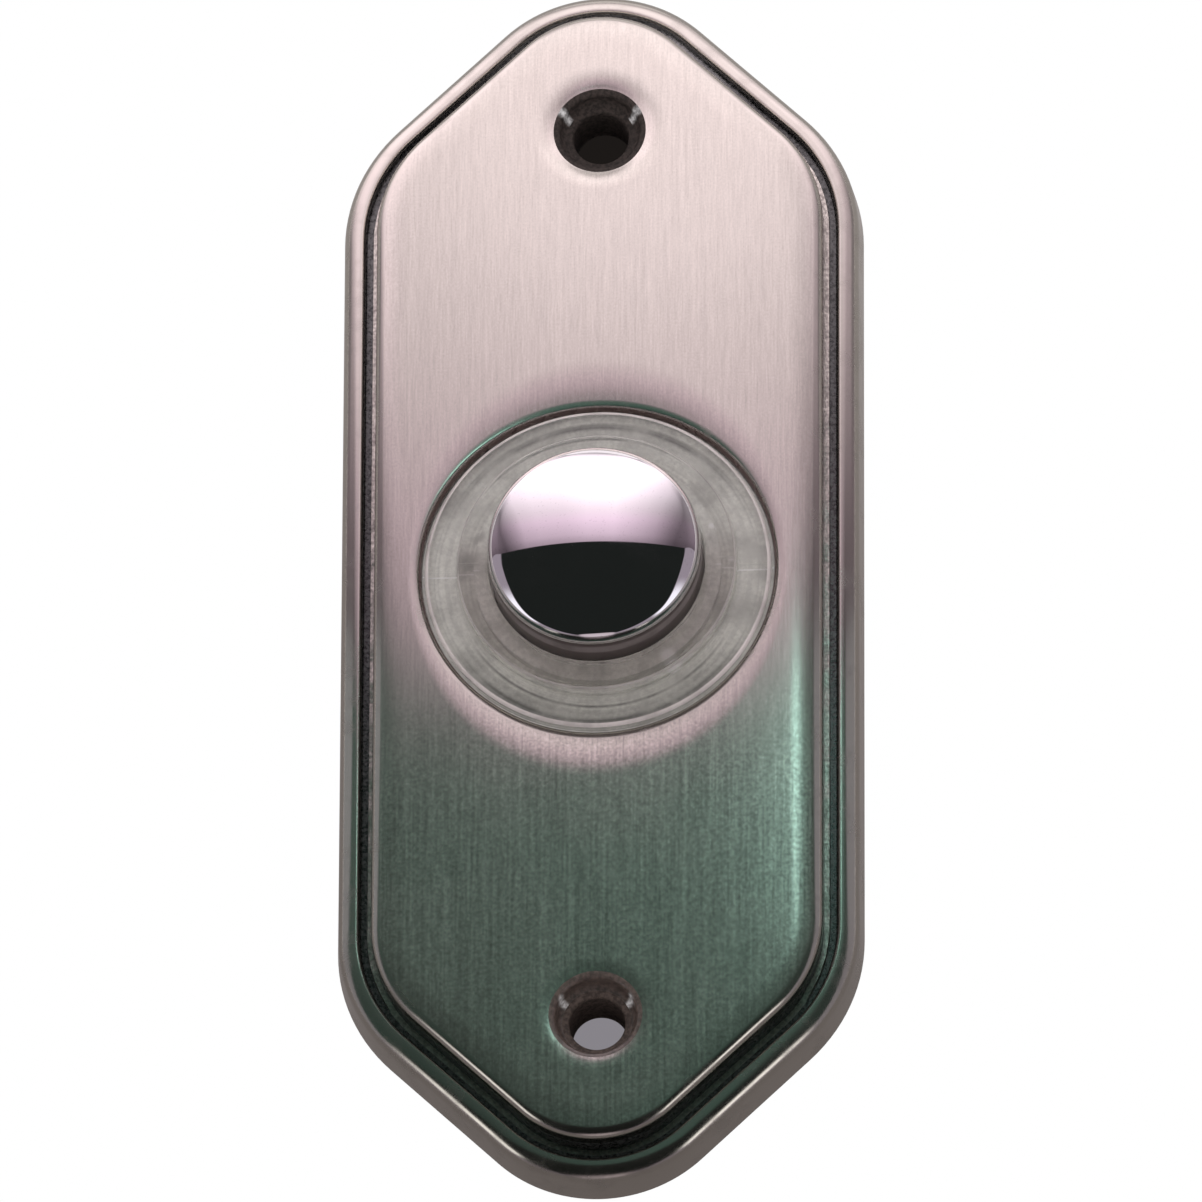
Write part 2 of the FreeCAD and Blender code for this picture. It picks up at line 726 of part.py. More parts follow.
def contact_rivet(name, side):
    """A fixed contact: head in the well, shank through the floor and the strip, tail spread behind."""
    body = new_body(name)
    strip_rear = cup_rear - s.strip_thickness
    tail = strip_rear - s.rivet_tail_thickness
    revolve(body, "Revolution", "rivet", [
        (ZERO, tail),
        (s.rivet_tail_radius, tail),
        (s.rivet_tail_radius, strip_rear),
        (s.rivet_shank_radius, strip_rear),
        (s.rivet_shank_radius, s.well_floor_height),
        (s.rivet_head_radius, s.well_floor_height),
        (s.rivet_head_radius, rivet_top, s.rivet_tail_thickness),
        (ZERO, rivet_top),
    ])
    set_place(body, contact_place * side, ZERO)
    return body


def contact_strip(name, side):
    """A formed strip: along the cup's rear, up a step and along the ear's rear to the terminal."""
    body = new_body(name)
    low_rear = cup_rear - s.strip_thickness
    high_rear = ear_rear - s.strip_thickness
    riser = ear_top + s.terminal_hole_gap
    profile = new_sketch(body, "strip_profile", "YZ_Plane")
    add_outline(profile, [
        (-low_rear, s.strip_overhang),
        (-low_rear, -(riser + s.strip_thickness)),
        (-high_rear, -(riser + s.strip_thickness)),
        (-high_rear, -(base_bottom - s.terminal_hole_gap)),
        (-ear_rear, -(base_bottom - s.terminal_hole_gap)),
        (-ear_rear, -riser),
        (-cup_rear, -riser),
        (-cup_rear, s.strip_overhang),
    ])
    feature(body, "Pad", "strip", profile, Length=s.strip_width, Midplane=True)
    holes = new_sketch(body, "strip_holes", offset=ear_rear)
    add_circle(holes, ZERO, ZERO, s.rivet_shank_radius + s.thread_gap)
    add_circle(holes, ZERO, -terminal_place, s.terminal_shank_radius + s.terminal_hole_gap)
    feature(body, "Pocket", "holes", holes, Length=ear_rear)
    set_place(body, contact_place * side, ZERO)
    return body


def slotted_screw(name, sizes, x, z):
    """A slotted screw along Y: sizes are the heights of its head's rear, seat and tip, then two radii."""
    head_rear, seat, tip, head_radius, shank_radius = sizes
    body = new_body(name)
    revolve(body, "Revolution", "screw", [
        (ZERO, head_rear),
        (head_radius, head_rear, s.slot_depth),
        (head_radius, seat),
        (shank_radius, seat),
        (shank_radius, tip),
        (ZERO, tip),
    ])
    slot = new_sketch(body, "slot_outline", offset=head_rear)
    reach = head_radius + s.cut_margin
    add_outline(slot, rectangle(-s.slot_width / 2, s.slot_width / 2, -reach, reach))
    feature(body, "Pocket", "slot", slot, Length=s.slot_depth, Reversed=True)
    set_place(body, x, z)
    return body


def terminal_screw(name, side):
    head_rear = terminal_seat - s.terminal_head_height
    tip = ear_face - s.thread_gap
    sizes = (head_rear, terminal_seat, tip, s.terminal_head_radius, s.terminal_shank_radius)
    return slotted_screw(name, sizes, contact_place * side, -terminal_place)


def terminal_washer(name, side):
    inner = s.terminal_shank_radius + s.terminal_hole_gap
    body = ring_piece(name, inner, s.washer_radius, terminal_seat, terminal_seat + s.washer_thickness)
    set_place(body, contact_place * side, -terminal_place)
    return body


def terminal_nut(name, side):
    """A square nut with a plain bore where its thread is."""
    body = new_body(name)
    half = s.nut_size / 2
    square = new_sketch(body, "nut_outline", offset=nut_under)
    add_outline(square, rectangle(-half, half, -half, half))
    add_circle(square, ZERO, ZERO, s.terminal_shank_radius + s.thread_gap)
    feature(body, "Pad", "nut", square, Length=s.nut_thickness)
    set_place(body, contact_place * side, -terminal_place)
    return body


def base_screw(name, side):
    head_rear = base_rear - s.base_screw_head_height
    tip = screw_hole_end - s.base_screw_tip_gap
    sizes = (head_rear, base_rear, tip, s.base_screw_head_radius, s.base_screw_radius)
    return slotted_screw(name, sizes, ZERO, base_screw_place * side)


def lamp(name, side):
    """A small lamp: a collar behind the base and a domed body through it."""
    body = new_body(name)
    collar = base_rear - s.lamp_collar_thickness
    tip = base_face - s.lamp_tip_gap
    revolve(body, "Revolution", "lamp", [
        (ZERO, collar),
        (s.lamp_collar_radius, collar),
        (s.lamp_collar_radius, base_rear),
        (s.lamp_radius, base_rear),
        (s.lamp_radius, tip, s.lamp_tip_round),
        (ZERO, tip),
    ])
    set_place(body, lamp_place * side, ZERO)
    return body


def wire_run(body, name, route, start_height):
    """A wire along a flat route at the wiring height, its first point on a leg from start_height."""
    path = new_sketch(body, f"{name}_route", offset=s.wire_height)
    add_outline(path, route, closed=False)
    section = new_sketch(body, f"{name}_section", "XY_Plane", route[0][1])
    add_circle(section, route[0][0], -s.wire_height, s.wire_radius)
    feature(body, "AdditivePipe", name, section, Spine=(path, []))
    leg = new_sketch(body, f"{name}_leg", offset=s.wire_height)
    add_circle(leg, route[0][0], route[0][1], s.wire_radius)
    feature(body, "Pad", f"{name}_foot", leg, Length=start_height - s.wire_height)


def lamp_lead(name, side):
    """The lead from a lamp, down past the cup, to the edge of its strip."""
    body = new_body(name)
    lamp_rear = base_rear - s.lamp_collar_thickness
    strip_edge = contact_place + s.strip_width / 2
    wire_run(body, "lead", [
        (lamp_place * side, -s.leg_offset),
        (lamp_place * side, -(ear_top - s.strip_thickness), s.strip_lead_bend),
        (strip_edge * side, -(ear_top - s.strip_thickness)),
    ], lamp_rear)
    return body


def lamp_resistor():
    """The series resistor above the cup, with a lead from each end to a lamp."""
    body = new_body("lamp_resistor")
    half = s.resistor_length / 2
    neck = s.resistor_radius - s.resistor_waist
    sketch = new_sketch(body, "resistor_profile", "XZ_Plane", s.wire_height)
    low = resistor_place
    add_outline(sketch, [
        (-half, low),
        (half, low),
        (half, low + s.resistor_radius),
        (half - s.resistor_cap_length, low + s.resistor_radius),
        (half - s.resistor_cap_length, low + neck),
        (-(half - s.resistor_cap_length), low + neck),
        (-(half - s.resistor_cap_length), low + s.resistor_radius),
        (-half, low + s.resistor_radius),
    ])
    axis = new_sketch(body, "resistor_axis", "XZ_Plane", s.wire_height)
    line = axis.addGeometry(Part.LineSegment(vector(-half, low), vector(half, low)), False)
    place_point(axis, line, 1, -half, low)
    place_point(axis, line, 2, half, low)
    feature(body, "Revolution", "resistor_body", sketch, ReferenceAxis=(axis, ["Edge1"]), Angle=360)
    lamp_rear = base_rear - s.lamp_collar_thickness
    for label, side in (("right", 1), ("left", -1)):
        wire_run(body, f"{label}_lead", [
            (lamp_place * side, s.leg_offset),
            (lamp_place * side, resistor_place, s.resistor_lead_bend),
            ((half - s.resistor_cap_length) * side, resistor_place),
        ], lamp_rear)
    return body


SIDES = (("left", -1), ("right", 1))
ENDS = (("upper", 1), ("lower", -1))

bodies = [
    faceplate(),
    lens_ring(),
    button_cap(),
    button_plunger(),
    ring_piece("contact_disc", stem_radius + s.slip_gap, disc_radius, disc_under, flange_under),
    ring_piece("contact_retainer", stem_radius + s.slip_gap, clip_radius,
               disc_under - s.clip_thickness, disc_under),
    return_spring(),
    switch_base(),
    lamp_resistor(),
]
for end_name, end in ENDS:
    bodies.append(base_screw(f"base_screw_{end_name}", end))
for side_name, side in SIDES:
    bodies.append(contact_rivet(f"contact_rivet_{side_name}", side))
    bodies.append(contact_strip(f"contact_strip_{side_name}", side))
    bodies.append(terminal_screw(f"terminal_screw_{side_name}", side))
    bodies.append(terminal_washer(f"terminal_washer_{side_name}", side))
    bodies.append(terminal_nut(f"terminal_nut_{side_name}", side))
    bodies.append(lamp(f"lamp_{side_name}", side))
    bodies.append(lamp_lead(f"lamp_lead_{side_name}", side))

doc.recompute()
faults = [f"{item.Label}: {item.State}" for item in doc.Objects
          if any(word in item.State for word in ("Invalid", "Error"))]
for body in bodies:
    if body.Shape.isNull() or not body.Shape.isValid() or not body.Shape.Solids:
        faults.append(f"{body.Label}: no valid solid")
if faults:
    raise RuntimeError("; ".join(faults))

os.makedirs("parts", exist_ok=True)
for body in bodies:
    body.Shape.exportStep(f"parts/{body.Label}.step")
    print(body.Label, len(body.Shape.Solids), round(body.Shape.Volume, 3))
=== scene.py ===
"""Looks of the doorbell push button: satin wall plate, clear ring, mirror button and the switch behind it.

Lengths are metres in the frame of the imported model: +Z runs up the plate, the front faces -Y and the wall
is the plane Y = 0. A height is counted from the wall towards the front, so it lies at Y = -height.
"""

import math

import bmesh
import bpy
from mathutils import Matrix, Vector


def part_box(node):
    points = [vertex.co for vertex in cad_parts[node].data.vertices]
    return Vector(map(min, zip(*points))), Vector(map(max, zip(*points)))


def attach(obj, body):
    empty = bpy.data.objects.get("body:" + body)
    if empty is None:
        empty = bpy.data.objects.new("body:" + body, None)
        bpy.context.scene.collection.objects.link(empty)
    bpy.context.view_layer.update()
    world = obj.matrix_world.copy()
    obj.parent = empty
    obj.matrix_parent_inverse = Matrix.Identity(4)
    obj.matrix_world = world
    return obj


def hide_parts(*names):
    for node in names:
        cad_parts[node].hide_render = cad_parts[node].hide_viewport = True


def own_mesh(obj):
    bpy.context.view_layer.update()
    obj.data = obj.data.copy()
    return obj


bl_info = {
    "name": "Doorbell push button",
    "version": (1, 0, 0),
    "blender": (4, 5, 0),
    "location": "3D View > Sidebar > Doorbell",
    "description": "Dresses the doorbell push button and sets its studio",
    "category": "Object",
}

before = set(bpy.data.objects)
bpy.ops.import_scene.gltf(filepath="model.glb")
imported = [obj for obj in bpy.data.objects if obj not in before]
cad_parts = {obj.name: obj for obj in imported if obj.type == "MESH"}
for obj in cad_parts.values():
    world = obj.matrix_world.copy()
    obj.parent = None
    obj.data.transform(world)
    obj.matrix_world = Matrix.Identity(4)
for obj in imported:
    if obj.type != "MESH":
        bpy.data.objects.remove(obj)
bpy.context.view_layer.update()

MM = 0.001
PLATE_LOW, PLATE_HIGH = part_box("faceplate")
RING_LOW, RING_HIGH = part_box("lens_ring")
CAP_LOW, CAP_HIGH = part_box("button_cap")

# Steps round each kind of piece.
ROUND_STEPS = 160
OPENING_STEPS = 144
HOLE_STEPS = 72
POST_STEPS = 48
COIL_STEPS = 32
WIRE_SIDES = 12
DISH_STEPS = 8
CLEAN_LIP_STEPS = 3

# Sizes that have no setting.
FACE_WALL = 0.0013
GROOVE_WALL = 0.00155
DISH_GAP = 0.00008
BOSS_WALL = 0.0023
POST_RADIUS = 0.0023
POST_LENGTH = 0.00095
POST_PLACE = 0.0191
HUB_LIP = 0.0021
RING_FACE = 0.00595
RING_SEAT = 0.00505
RING_REAR_BORE = 0.0105
CAP_WALL = 0.0014
HOLE_PLACE = 0.041275
HOLE_CARD_HALF = 0.0042


def length(name, description, default):
    """A size in metres."""
    return bpy.props.FloatProperty(name=name, description=description, default=default, unit="LENGTH",
                                   precision=5)


def angle(name, description, degrees):
    return bpy.props.FloatProperty(name=name, description=description, default=math.radians(degrees),
                                   subtype="ANGLE")


def colour(name, description, default):
    return bpy.props.FloatVectorProperty(name=name, description=description, default=default, size=3,
                                         min=0, max=1, subtype="COLOR")


class PlateSettings(bpy.types.PropertyGroup):
    width: length("Width", "Across the plate at the wall", PLATE_HIGH.x - PLATE_LOW.x)
    tall: length("Length", "From one point of the plate to the other", PLATE_HIGH.z - PLATE_LOW.z)
    face_height: length("Face height", "From the wall to the flat face", -PLATE_LOW.y)
    slant: angle("Slant", "Slope of the ends against the plate's width", 44)
    apex_radius: length("Point radius", "Rounding of the two points at the wall", 12.3 * MM)
    shoulder_radius: length("Shoulder radius", "Rounding of the four shoulders at the wall", 15 * MM)
    rim_height: length("Rim height", "From the wall to the top of the rim", 4.05 * MM)
    rim_width: length("Rim width", "From the outline to the groove", 2.1 * MM)
    rim_round: length("Rim rounding", "Rounding of the rim's outer side", 1.55 * MM)
    rim_inner_round: length("Inner rounding", "Rounding of the rim towards the groove", 0.4 * MM)
    rim_draft: angle("Draft", "Lean of the rim's outer side", 5)
    groove_height: length("Groove floor", "From the wall to the groove's floor", 2.95 * MM)
    groove_width: length("Groove width", "From the rim to the cast ledge", 0.6 * MM)
    ledge_width: length("Ledge width", "Width of the cast ledge", 0.5 * MM)
    ledge_height: length("Ledge height", "From the wall to the ledge's top", 3.35 * MM)
    ledge_reach: length("Ledge reach", "From the middle to each end of the ledge", 38 * MM)
    face_round: length("Face rounding", "Rounding of the flat face's edge", 1.0 * MM)
    crown_width: length("Crown width", "Width of the soft fall along the face's edge", 2.05 * MM)
    crown_fall: length("Crown fall", "How far the face falls towards its edge", 0.25 * MM)
    opening_radius: length("Opening", "Radius of the round opening", 14.95 * MM)
    opening_round: length("Opening rounding", "Rounding of the opening's edge", 0.85 * MM)
    dish_width: length("Dish width", "Width of the shallow dish round the opening", 3.7 * MM)
    dish_slope: angle("Dish slope", "Steepest slope of the dish", 13.5)
    hole_place: length("Hole place", "From the middle to each screw hole", 41.275 * MM)
    mouth_radius: length("Hole mouth", "Radius of the wide part of a screw hole", 3.4 * MM)
    mouth_round: length("Mouth rounding", "Rounding of a screw hole's edge", 0.55 * MM)
    mouth_dish: length("Mouth dish", "Width of the worn dish round the lower screw hole", 1.3 * MM)
    mouth_slope: angle("Mouth slope", "Steepest slope of the dish round the lower screw hole", 15)
    upper_dish: length("Upper mouth dish", "Width of the worn dish round the upper screw hole", 1.9 * MM)
    upper_slope: angle("Upper mouth slope", "Steepest slope of the dish round the upper screw hole", 30)
    mouth_depth: length("Mouth depth", "Depth of the wide part of a screw hole", 2.1 * MM)
    hole_radius: length("Hole radius", "Radius of the narrow part of a screw hole", 2.35 * MM)
    funnel_round: length("Funnel rounding", "Hollow rounding between a mouth's wall and its seat", 0.9 * MM)
    hole_edge_round: length("Hole edge rounding", "Rounding of the narrow part's edge", 0.4 * MM)
    rear_width: length("Rear face", "Width of the face against the wall", 1.6 * MM)
    hollow_inset: length("Hollow", "From the outline to the hollow behind the face", 4.9 * MM)
    metal: colour("Metal", "Colour of the satin metal", (0.505, 0.482, 0.435))
    patina: colour("Patina", "Colour of the dark groove", (0.045, 0.046, 0.045))


class RingSettings(bpy.types.PropertyGroup):
    radius: length("Radius", "Outer radius of the part that shows", 14.75 * MM)
    hub_radius: length("Hub radius", "Outer radius of the raised part", 11.85 * MM)
    bore: length("Bore", "Radius of the hole for the button", 9.2 * MM)
    tint: colour("Tint", "Colour of the clear plastic", (0.985, 1.0, 0.97))
    # Below the ring's middle the hub takes this darker tint: painted shade under the button.
    hub_shaded_tint: colour("Hub tint", "Colour of the thicker plastic round the button", (0.5, 0.472, 0.455))
    frost: colour("Frost", "Colour of the ring's matt rear", (0.97, 0.975, 0.93))


class ButtonSettings(bpy.types.PropertyGroup):
    radius: length("Radius", "Radius of the button's skirt", CAP_HIGH.x + 0.15 * MM)
    edge_round: length("Edge rounding", "Rounding between skirt and dome", 1.9 * MM)
    dome_radius: length("Dome radius", "Radius of the dome", 18.5 * MM)
    chrome: colour("Chrome", "Colour of the mirror finish", (0.92, 0.9, 0.92))


class StageSettings(bpy.types.PropertyGroup):
    below: angle("Below", "How far the camera stands below the plate's normal", 24.85)
    aside: angle("Aside", "How far the camera stands to the right", 4.28)
    roll: angle("Roll", "Turn of the camera about its own axis", 0.25)
    distance: length("Distance", "From the camera to the plate", 1.826)
    tent_radius: length("Tent radius", "Radius of the light tent round the plate", 62 * MM)
    dark_top: length("Dark band top", "Height of the dark band's upper edge", 14.5 * MM)
    dark_foot: length("Dark band foot", "Height of the dark band's lower edge", -215 * MM)
    dark_left: angle("Dark band left", "How far the dark band reaches to the left", 48)
    dark_right: angle("Dark band right", "How far the dark band reaches to the right", 43)
    light: colour("Light", "Colour of the soft light near the dark band", (1.0, 0.8, 0.92))
    glow: colour("Green glow", "Green light that the metal picks up from the dark band", (0.136, 0.28, 0.237))
    strip: colour("Green strip", "Bright green strip on the right of the dark band", (0.6, 1.0, 0.93))
    strip_gain: bpy.props.FloatProperty(name="Strip gain", description="Brightness of the green strip",
                                        default=3.2)
    window: colour("Side windows", "Pale low light that the button picks up on both sides", (0.36, 0.37, 0.39))
    far_strip: colour("Far strips", "Low light far to both sides, which the plate's hollows pick up",
                      (0.6, 0.59, 0.58))


def ring_of(radius, height, count, x=0.0, z=0.0):
    """Points round an axis that stands on the wall."""
    turns = [2 * math.pi * i / count for i in range(count)]
    return [Vector((x + radius * math.cos(t), -height, z + radius * math.sin(t))) for t in turns]


class Surface:
    """Gathers rings of points into one mesh, band by band."""

    def __init__(self, name):
        self.name = name
        self.mesh = bmesh.new()
        self.finishes = []

    def finish(self, material):
        if material not in self.finishes:
            self.finishes.append(material)
        return self.finishes.index(material)

    def loop(self, points):
        return [self.mesh.verts.new(point) for point in points]

    def band(self, first, second, material):
        """Quads between two rings with the same number of points."""
        index = self.finish(material)
        for i in range(len(first)):
            j = (i + 1) % len(first)
            face = self.mesh.faces.new((first[i], first[j], second[j], second[i]))
            face.material_index = index

    def bands(self, rings, material):
        """Bands through rings of points, which start at a ready loop or at points."""
        loops = [ring if isinstance(ring[0], bmesh.types.BMVert) else self.loop(ring) for ring in rings]
        for first, second in zip(loops, loops[1:]):
            self.band(first, second, material)
        return loops

    def flat(self, loops, material):
        """A flat face between an outer loop and the loops inside it."""
        edges = []
        for loop in loops:
            for i, vert in enumerate(loop):
                other = loop[(i + 1) % len(loop)]
                edges.append(self.mesh.edges.get((vert, other)) or self.mesh.edges.new((vert, other)))
        made = bmesh.ops.triangle_fill(self.mesh, edges=edges, use_beauty=True, use_dissolve=False)
        for item in made["geom"]:
            if isinstance(item, bmesh.types.BMFace):
                item.material_index = self.finish(material)

    def cap(self, loop, centre, material):
        """A fan that closes a ring."""
        middle = self.mesh.verts.new(centre)
        for i, vert in enumerate(loop):
            face = self.mesh.faces.new((vert, loop[(i + 1) % len(loop)], middle))
            face.material_index = self.finish(material)

    def make(self, sharp_from=32):
        """The object: smooth faces, with edges sharper than that angle left crisp."""
        bmesh.ops.recalc_face_normals(self.mesh, faces=self.mesh.faces)
        for face in self.mesh.faces:
            face.smooth = True
        for edge in self.mesh.edges:
            if len(edge.link_faces) == 2:
                edge.smooth = edge.calc_face_angle(0) < math.radians(sharp_from)
        data = bpy.data.meshes.new(self.name)
        self.mesh.to_mesh(data)
        self.mesh.free()
        for material in self.finishes:
            data.materials.append(material)
        piece = bpy.data.objects.new(self.name, data)
        bpy.context.scene.collection.objects.link(piece)
        return piece


class NodeTree:
    """Short ways to add and join shader nodes."""

    def __init__(self, tree):
        self.tree = tree
        self.row = 0

    def add(self, kind, **values):
        node = self.tree.nodes.new(kind)
        node.location = (self.row * 190 - 1400, 0)
        self.row += 1
        for key, value in values.items():
            setattr(node, key, value)
        return node

    def put(self, socket, value):
        """Joins a socket to another one, or sets its value."""
        if isinstance(value, bpy.types.NodeSocket):
            self.tree.links.new(value, socket)
        elif value is not None:
            socket.default_value = (*value, 1) if hasattr(value, "__len__") and len(value) == 3 and \
                socket.type == "RGBA" else value
        return socket

    def maths(self, operation, a, b=None, c=None, clamp=False):
        node = self.add("ShaderNodeMath", operation=operation, use_clamp=clamp)
        for socket, value in zip(node.inputs, (a, b, c)):
            self.put(socket, value)
        return node.outputs[0]

    def spread(self, value, from_low, from_high, to_low=0.0, to_high=1.0, smooth=True):
        node = self.add("ShaderNodeMapRange", interpolation_type="SMOOTHSTEP" if smooth else "LINEAR")
        for name, number in (("Value", value), ("From Min", from_low), ("From Max", from_high),
                             ("To Min", to_low), ("To Max", to_high)):
            self.put(node.inputs[name], number)
        return node.outputs[0]

    def blend(self, share, a, b, mode="MIX"):
        node = self.add("ShaderNodeMix", data_type="RGBA", blend_type=mode)
        self.put(node.inputs[0], share)
        self.put(node.inputs[6], a)
        self.put(node.inputs[7], b)
        return node.outputs[2]

    def noise(self, place, scale, detail=3.0, roughness=0.55):
        node = self.add("ShaderNodeTexNoise")
        self.put(node.inputs["Vector"], place)
        self.put(node.inputs["Scale"], scale)
        node.inputs["Detail"].default_value = detail
        node.inputs["Roughness"].default_value = roughness
        return node.outputs["Fac"]

    def stretched(self, place, scale):
        node = self.add("ShaderNodeMapping")
        self.put(node.inputs["Vector"], place)
        node.inputs["Scale"].default_value = scale
        return node.outputs[0]

    def split(self, place):
        """The X, Y and Z parts of a place."""
        parts = self.add("ShaderNodeSeparateXYZ")
        self.put(parts.inputs[0], place)
        return parts.outputs

    def between(self, value, rise_low, rise_high, fall_low, fall_high):
        """One inside a span of values and zero outside it, with soft ends."""
        return self.maths("MULTIPLY", self.spread(value, rise_low, rise_high),
                          self.spread(value, fall_low, fall_high, 1.0, 0.0))

    def azimuth(self, parts):
        """The angle to the right of the plate's normal."""
        return self.maths("ARCTAN2", parts["X"], self.maths("MULTIPLY", parts["Y"], -1.0))

    def place(self):
        """Each point's place on the object, in metres."""
        return self.add("ShaderNodeTexCoord").outputs["Object"]

    def round_the_axis(self, scale):
        """A place that depends only on the distance from the button's axis."""
        flat = self.add("ShaderNodeVectorMath", operation="MULTIPLY")
        self.put(flat.inputs[0], self.place())
        flat.inputs[1].default_value = (scale, 0, scale)
        far = self.add("ShaderNodeVectorMath", operation="LENGTH")
        self.put(far.inputs[0], flat.outputs[0])
        made = self.add("ShaderNodeCombineXYZ")
        self.put(made.inputs[0], far.outputs["Value"])
        return made.outputs[0]

    def direction(self, centre):
        """The way from a centre to each point, with length one."""
        away = self.add("ShaderNodeVectorMath", operation="SUBTRACT")
        self.put(away.inputs[0], self.place())
        away.inputs[1].default_value = centre
        unit = self.add("ShaderNodeVectorMath", operation="NORMALIZE")
        self.put(unit.inputs[0], away.outputs[0])
        return unit.outputs[0]

    def group(self, made, **values):
        node = self.add("ShaderNodeGroup", node_tree=made)
        for name, value in values.items():
            self.put(node.inputs[name.replace("_", " ")], value)
        return node

    def bump(self, height, distance, strength=1.0):
        node = self.add("ShaderNodeBump")
        self.put(node.inputs["Height"], height)
        node.inputs["Distance"].default_value = distance
        node.inputs["Strength"].default_value = strength
        return node.outputs[0]


def new_group(name, inputs, outputs):
    """An effect that several materials share: its name, its inputs with defaults, and its outputs."""
    tree = bpy.data.node_groups.new(name, "ShaderNodeTree")
    for label, kind, default in inputs:
        socket = tree.interface.new_socket(label, in_out="INPUT", socket_type=kind)
        if default is not None:
            socket.default_value = default
    for label, kind in outputs:
        tree.interface.new_socket(label, in_out="OUTPUT", socket_type=kind)
    nodes = NodeTree(tree)
    return tree, nodes, nodes.add("NodeGroupInput").outputs, nodes.add("NodeGroupOutput").inputs


def brushing():
    """Fine straight marks along one direction.

    Streaks change the tone, roughness and height, and stronger scratches lie among them.
    """
    if "Brushing" in bpy.data.node_groups:
        return bpy.data.node_groups["Brushing"]
    tree, nodes, given, result = new_group(
        "Brushing",
        [("Place", "NodeSocketVector", None), ("Strength", "NodeSocketFloat", 1.0)],
        [("Tone", "NodeSocketFloat"), ("Height", "NodeSocketFloat"), ("Mask", "NodeSocketFloat"),
         ("Scratch", "NodeSocketFloat")])
    fine = nodes.noise(nodes.stretched(given["Place"], (6500, 2000, 420)), 1.0, 2.0, 0.65)
    broad = nodes.noise(nodes.stretched(given["Place"], (2600, 800, 60)), 1.0, 3.0, 0.6)
    grain = nodes.noise(given["Place"], 5200.0, 1.0)
    cloud = nodes.noise(given["Place"], 90.0, 2.0)
    streak = nodes.maths("ADD", nodes.maths("MULTIPLY", fine, 0.6), nodes.maths("MULTIPLY", broad, 0.4))
    mixed = nodes.maths("ADD", nodes.maths("MULTIPLY", streak, 0.7), nodes.maths("MULTIPLY", grain, 0.3))
    centred = nodes.maths("SUBTRACT", mixed, 0.5)
    nodes.put(result["Tone"], nodes.maths("MULTIPLY_ADD", nodes.maths("MULTIPLY", centred, 0.75),
                                          given["Strength"], 1.0))
    nodes.put(result["Height"], nodes.maths("MULTIPLY", streak, given["Strength"]))
    nodes.put(result["Mask"], nodes.spread(cloud, 0.3, 0.7))
    long = nodes.noise(nodes.stretched(given["Place"], (1900, 600, 45)), 1.0, 2.0, 0.7)
    thin = nodes.noise(nodes.stretched(given["Place"], (4200, 1300, 130)), 1.0, 1.0, 0.5)
    speck = nodes.noise(given["Place"], 3400.0, 1.0)
    lines = nodes.maths("ADD", nodes.maths("MULTIPLY", long, 0.55), nodes.maths("MULTIPLY", thin, 0.45))
    nodes.put(result["Scratch"], nodes.maths("MULTIPLY_ADD", nodes.maths("SUBTRACT", speck, 0.5), 0.8, lines))
    return tree


def handling():
    """Smudges and fine grit left by handling, as a mask and a height."""
    if "Handling" in bpy.data.node_groups:
        return bpy.data.node_groups["Handling"]
    tree, nodes, given, result = new_group(
        "Handling",
        [("Place", "NodeSocketVector", None), ("Size", "NodeSocketFloat", 1.0),
         ("Amount", "NodeSocketFloat", 0.5)],
        [("Smudge", "NodeSocketFloat"), ("Grit", "NodeSocketFloat"), ("Height", "NodeSocketFloat")])
    smudge = nodes.noise(given["Place"], nodes.maths("DIVIDE", 160.0, given["Size"]), 4.0, 0.6)
    grit = nodes.noise(given["Place"], nodes.maths("DIVIDE", 2600.0, given["Size"]), 2.0, 0.5)
    nodes.put(result["Smudge"], nodes.maths("MULTIPLY", nodes.spread(smudge, 0.42, 0.7), given["Amount"]))
    nodes.put(result["Grit"], nodes.maths("MULTIPLY", nodes.spread(grit, 0.62, 0.74), given["Amount"]))
    nodes.put(result["Height"], nodes.maths("ADD", nodes.maths("MULTIPLY", smudge, 0.4),
                                            nodes.maths("MULTIPLY", grit, 0.6)))
    return tree


def as_cast():
    """The skin of a casting or moulding: grains and pits, as a mask and a height."""
    if "As cast" in bpy.data.node_groups:
        return bpy.data.node_groups["As cast"]
    tree, nodes, given, result = new_group(
        "As cast",
        [("Place", "NodeSocketVector", None), ("Grain", "NodeSocketFloat", 0.00025)],
        [("Mask", "NodeSocketFloat"), ("Height", "NodeSocketFloat")])
    scale = nodes.maths("DIVIDE", 1.0, given["Grain"])
    grain = nodes.noise(given["Place"], scale, 3.0, 0.6)
    cells = nodes.add("ShaderNodeTexVoronoi", feature="F1")
    nodes.put(cells.inputs["Vector"], given["Place"])
    nodes.put(cells.inputs["Scale"], nodes.maths("MULTIPLY", scale, 0.7))
    nodes.put(result["Mask"], nodes.spread(grain, 0.35, 0.65))
    nodes.put(result["Height"], nodes.maths("MULTIPLY_ADD", cells.outputs["Distance"], 0.5, grain))
    return tree


def new_material(name):
    """A material with a bare Principled shader, the helper for its nodes and the shader's inputs."""
    material = bpy.data.materials.new(name)
    material.use_nodes = True
    shader = material.node_tree.nodes["Principled BSDF"]
    return material, NodeTree(material.node_tree), shader.inputs


def scaled(values, factor):
    return tuple(value * factor for value in values)


def tinted(nodes, base, tone):
    """A colour times a grey value that varies over the surface."""
    grey = nodes.add("ShaderNodeCombineColor")
    for socket in grey.inputs:
        nodes.put(socket, tone)
    return nodes.blend(1.0, base, grey.outputs[0], "MULTIPLY")


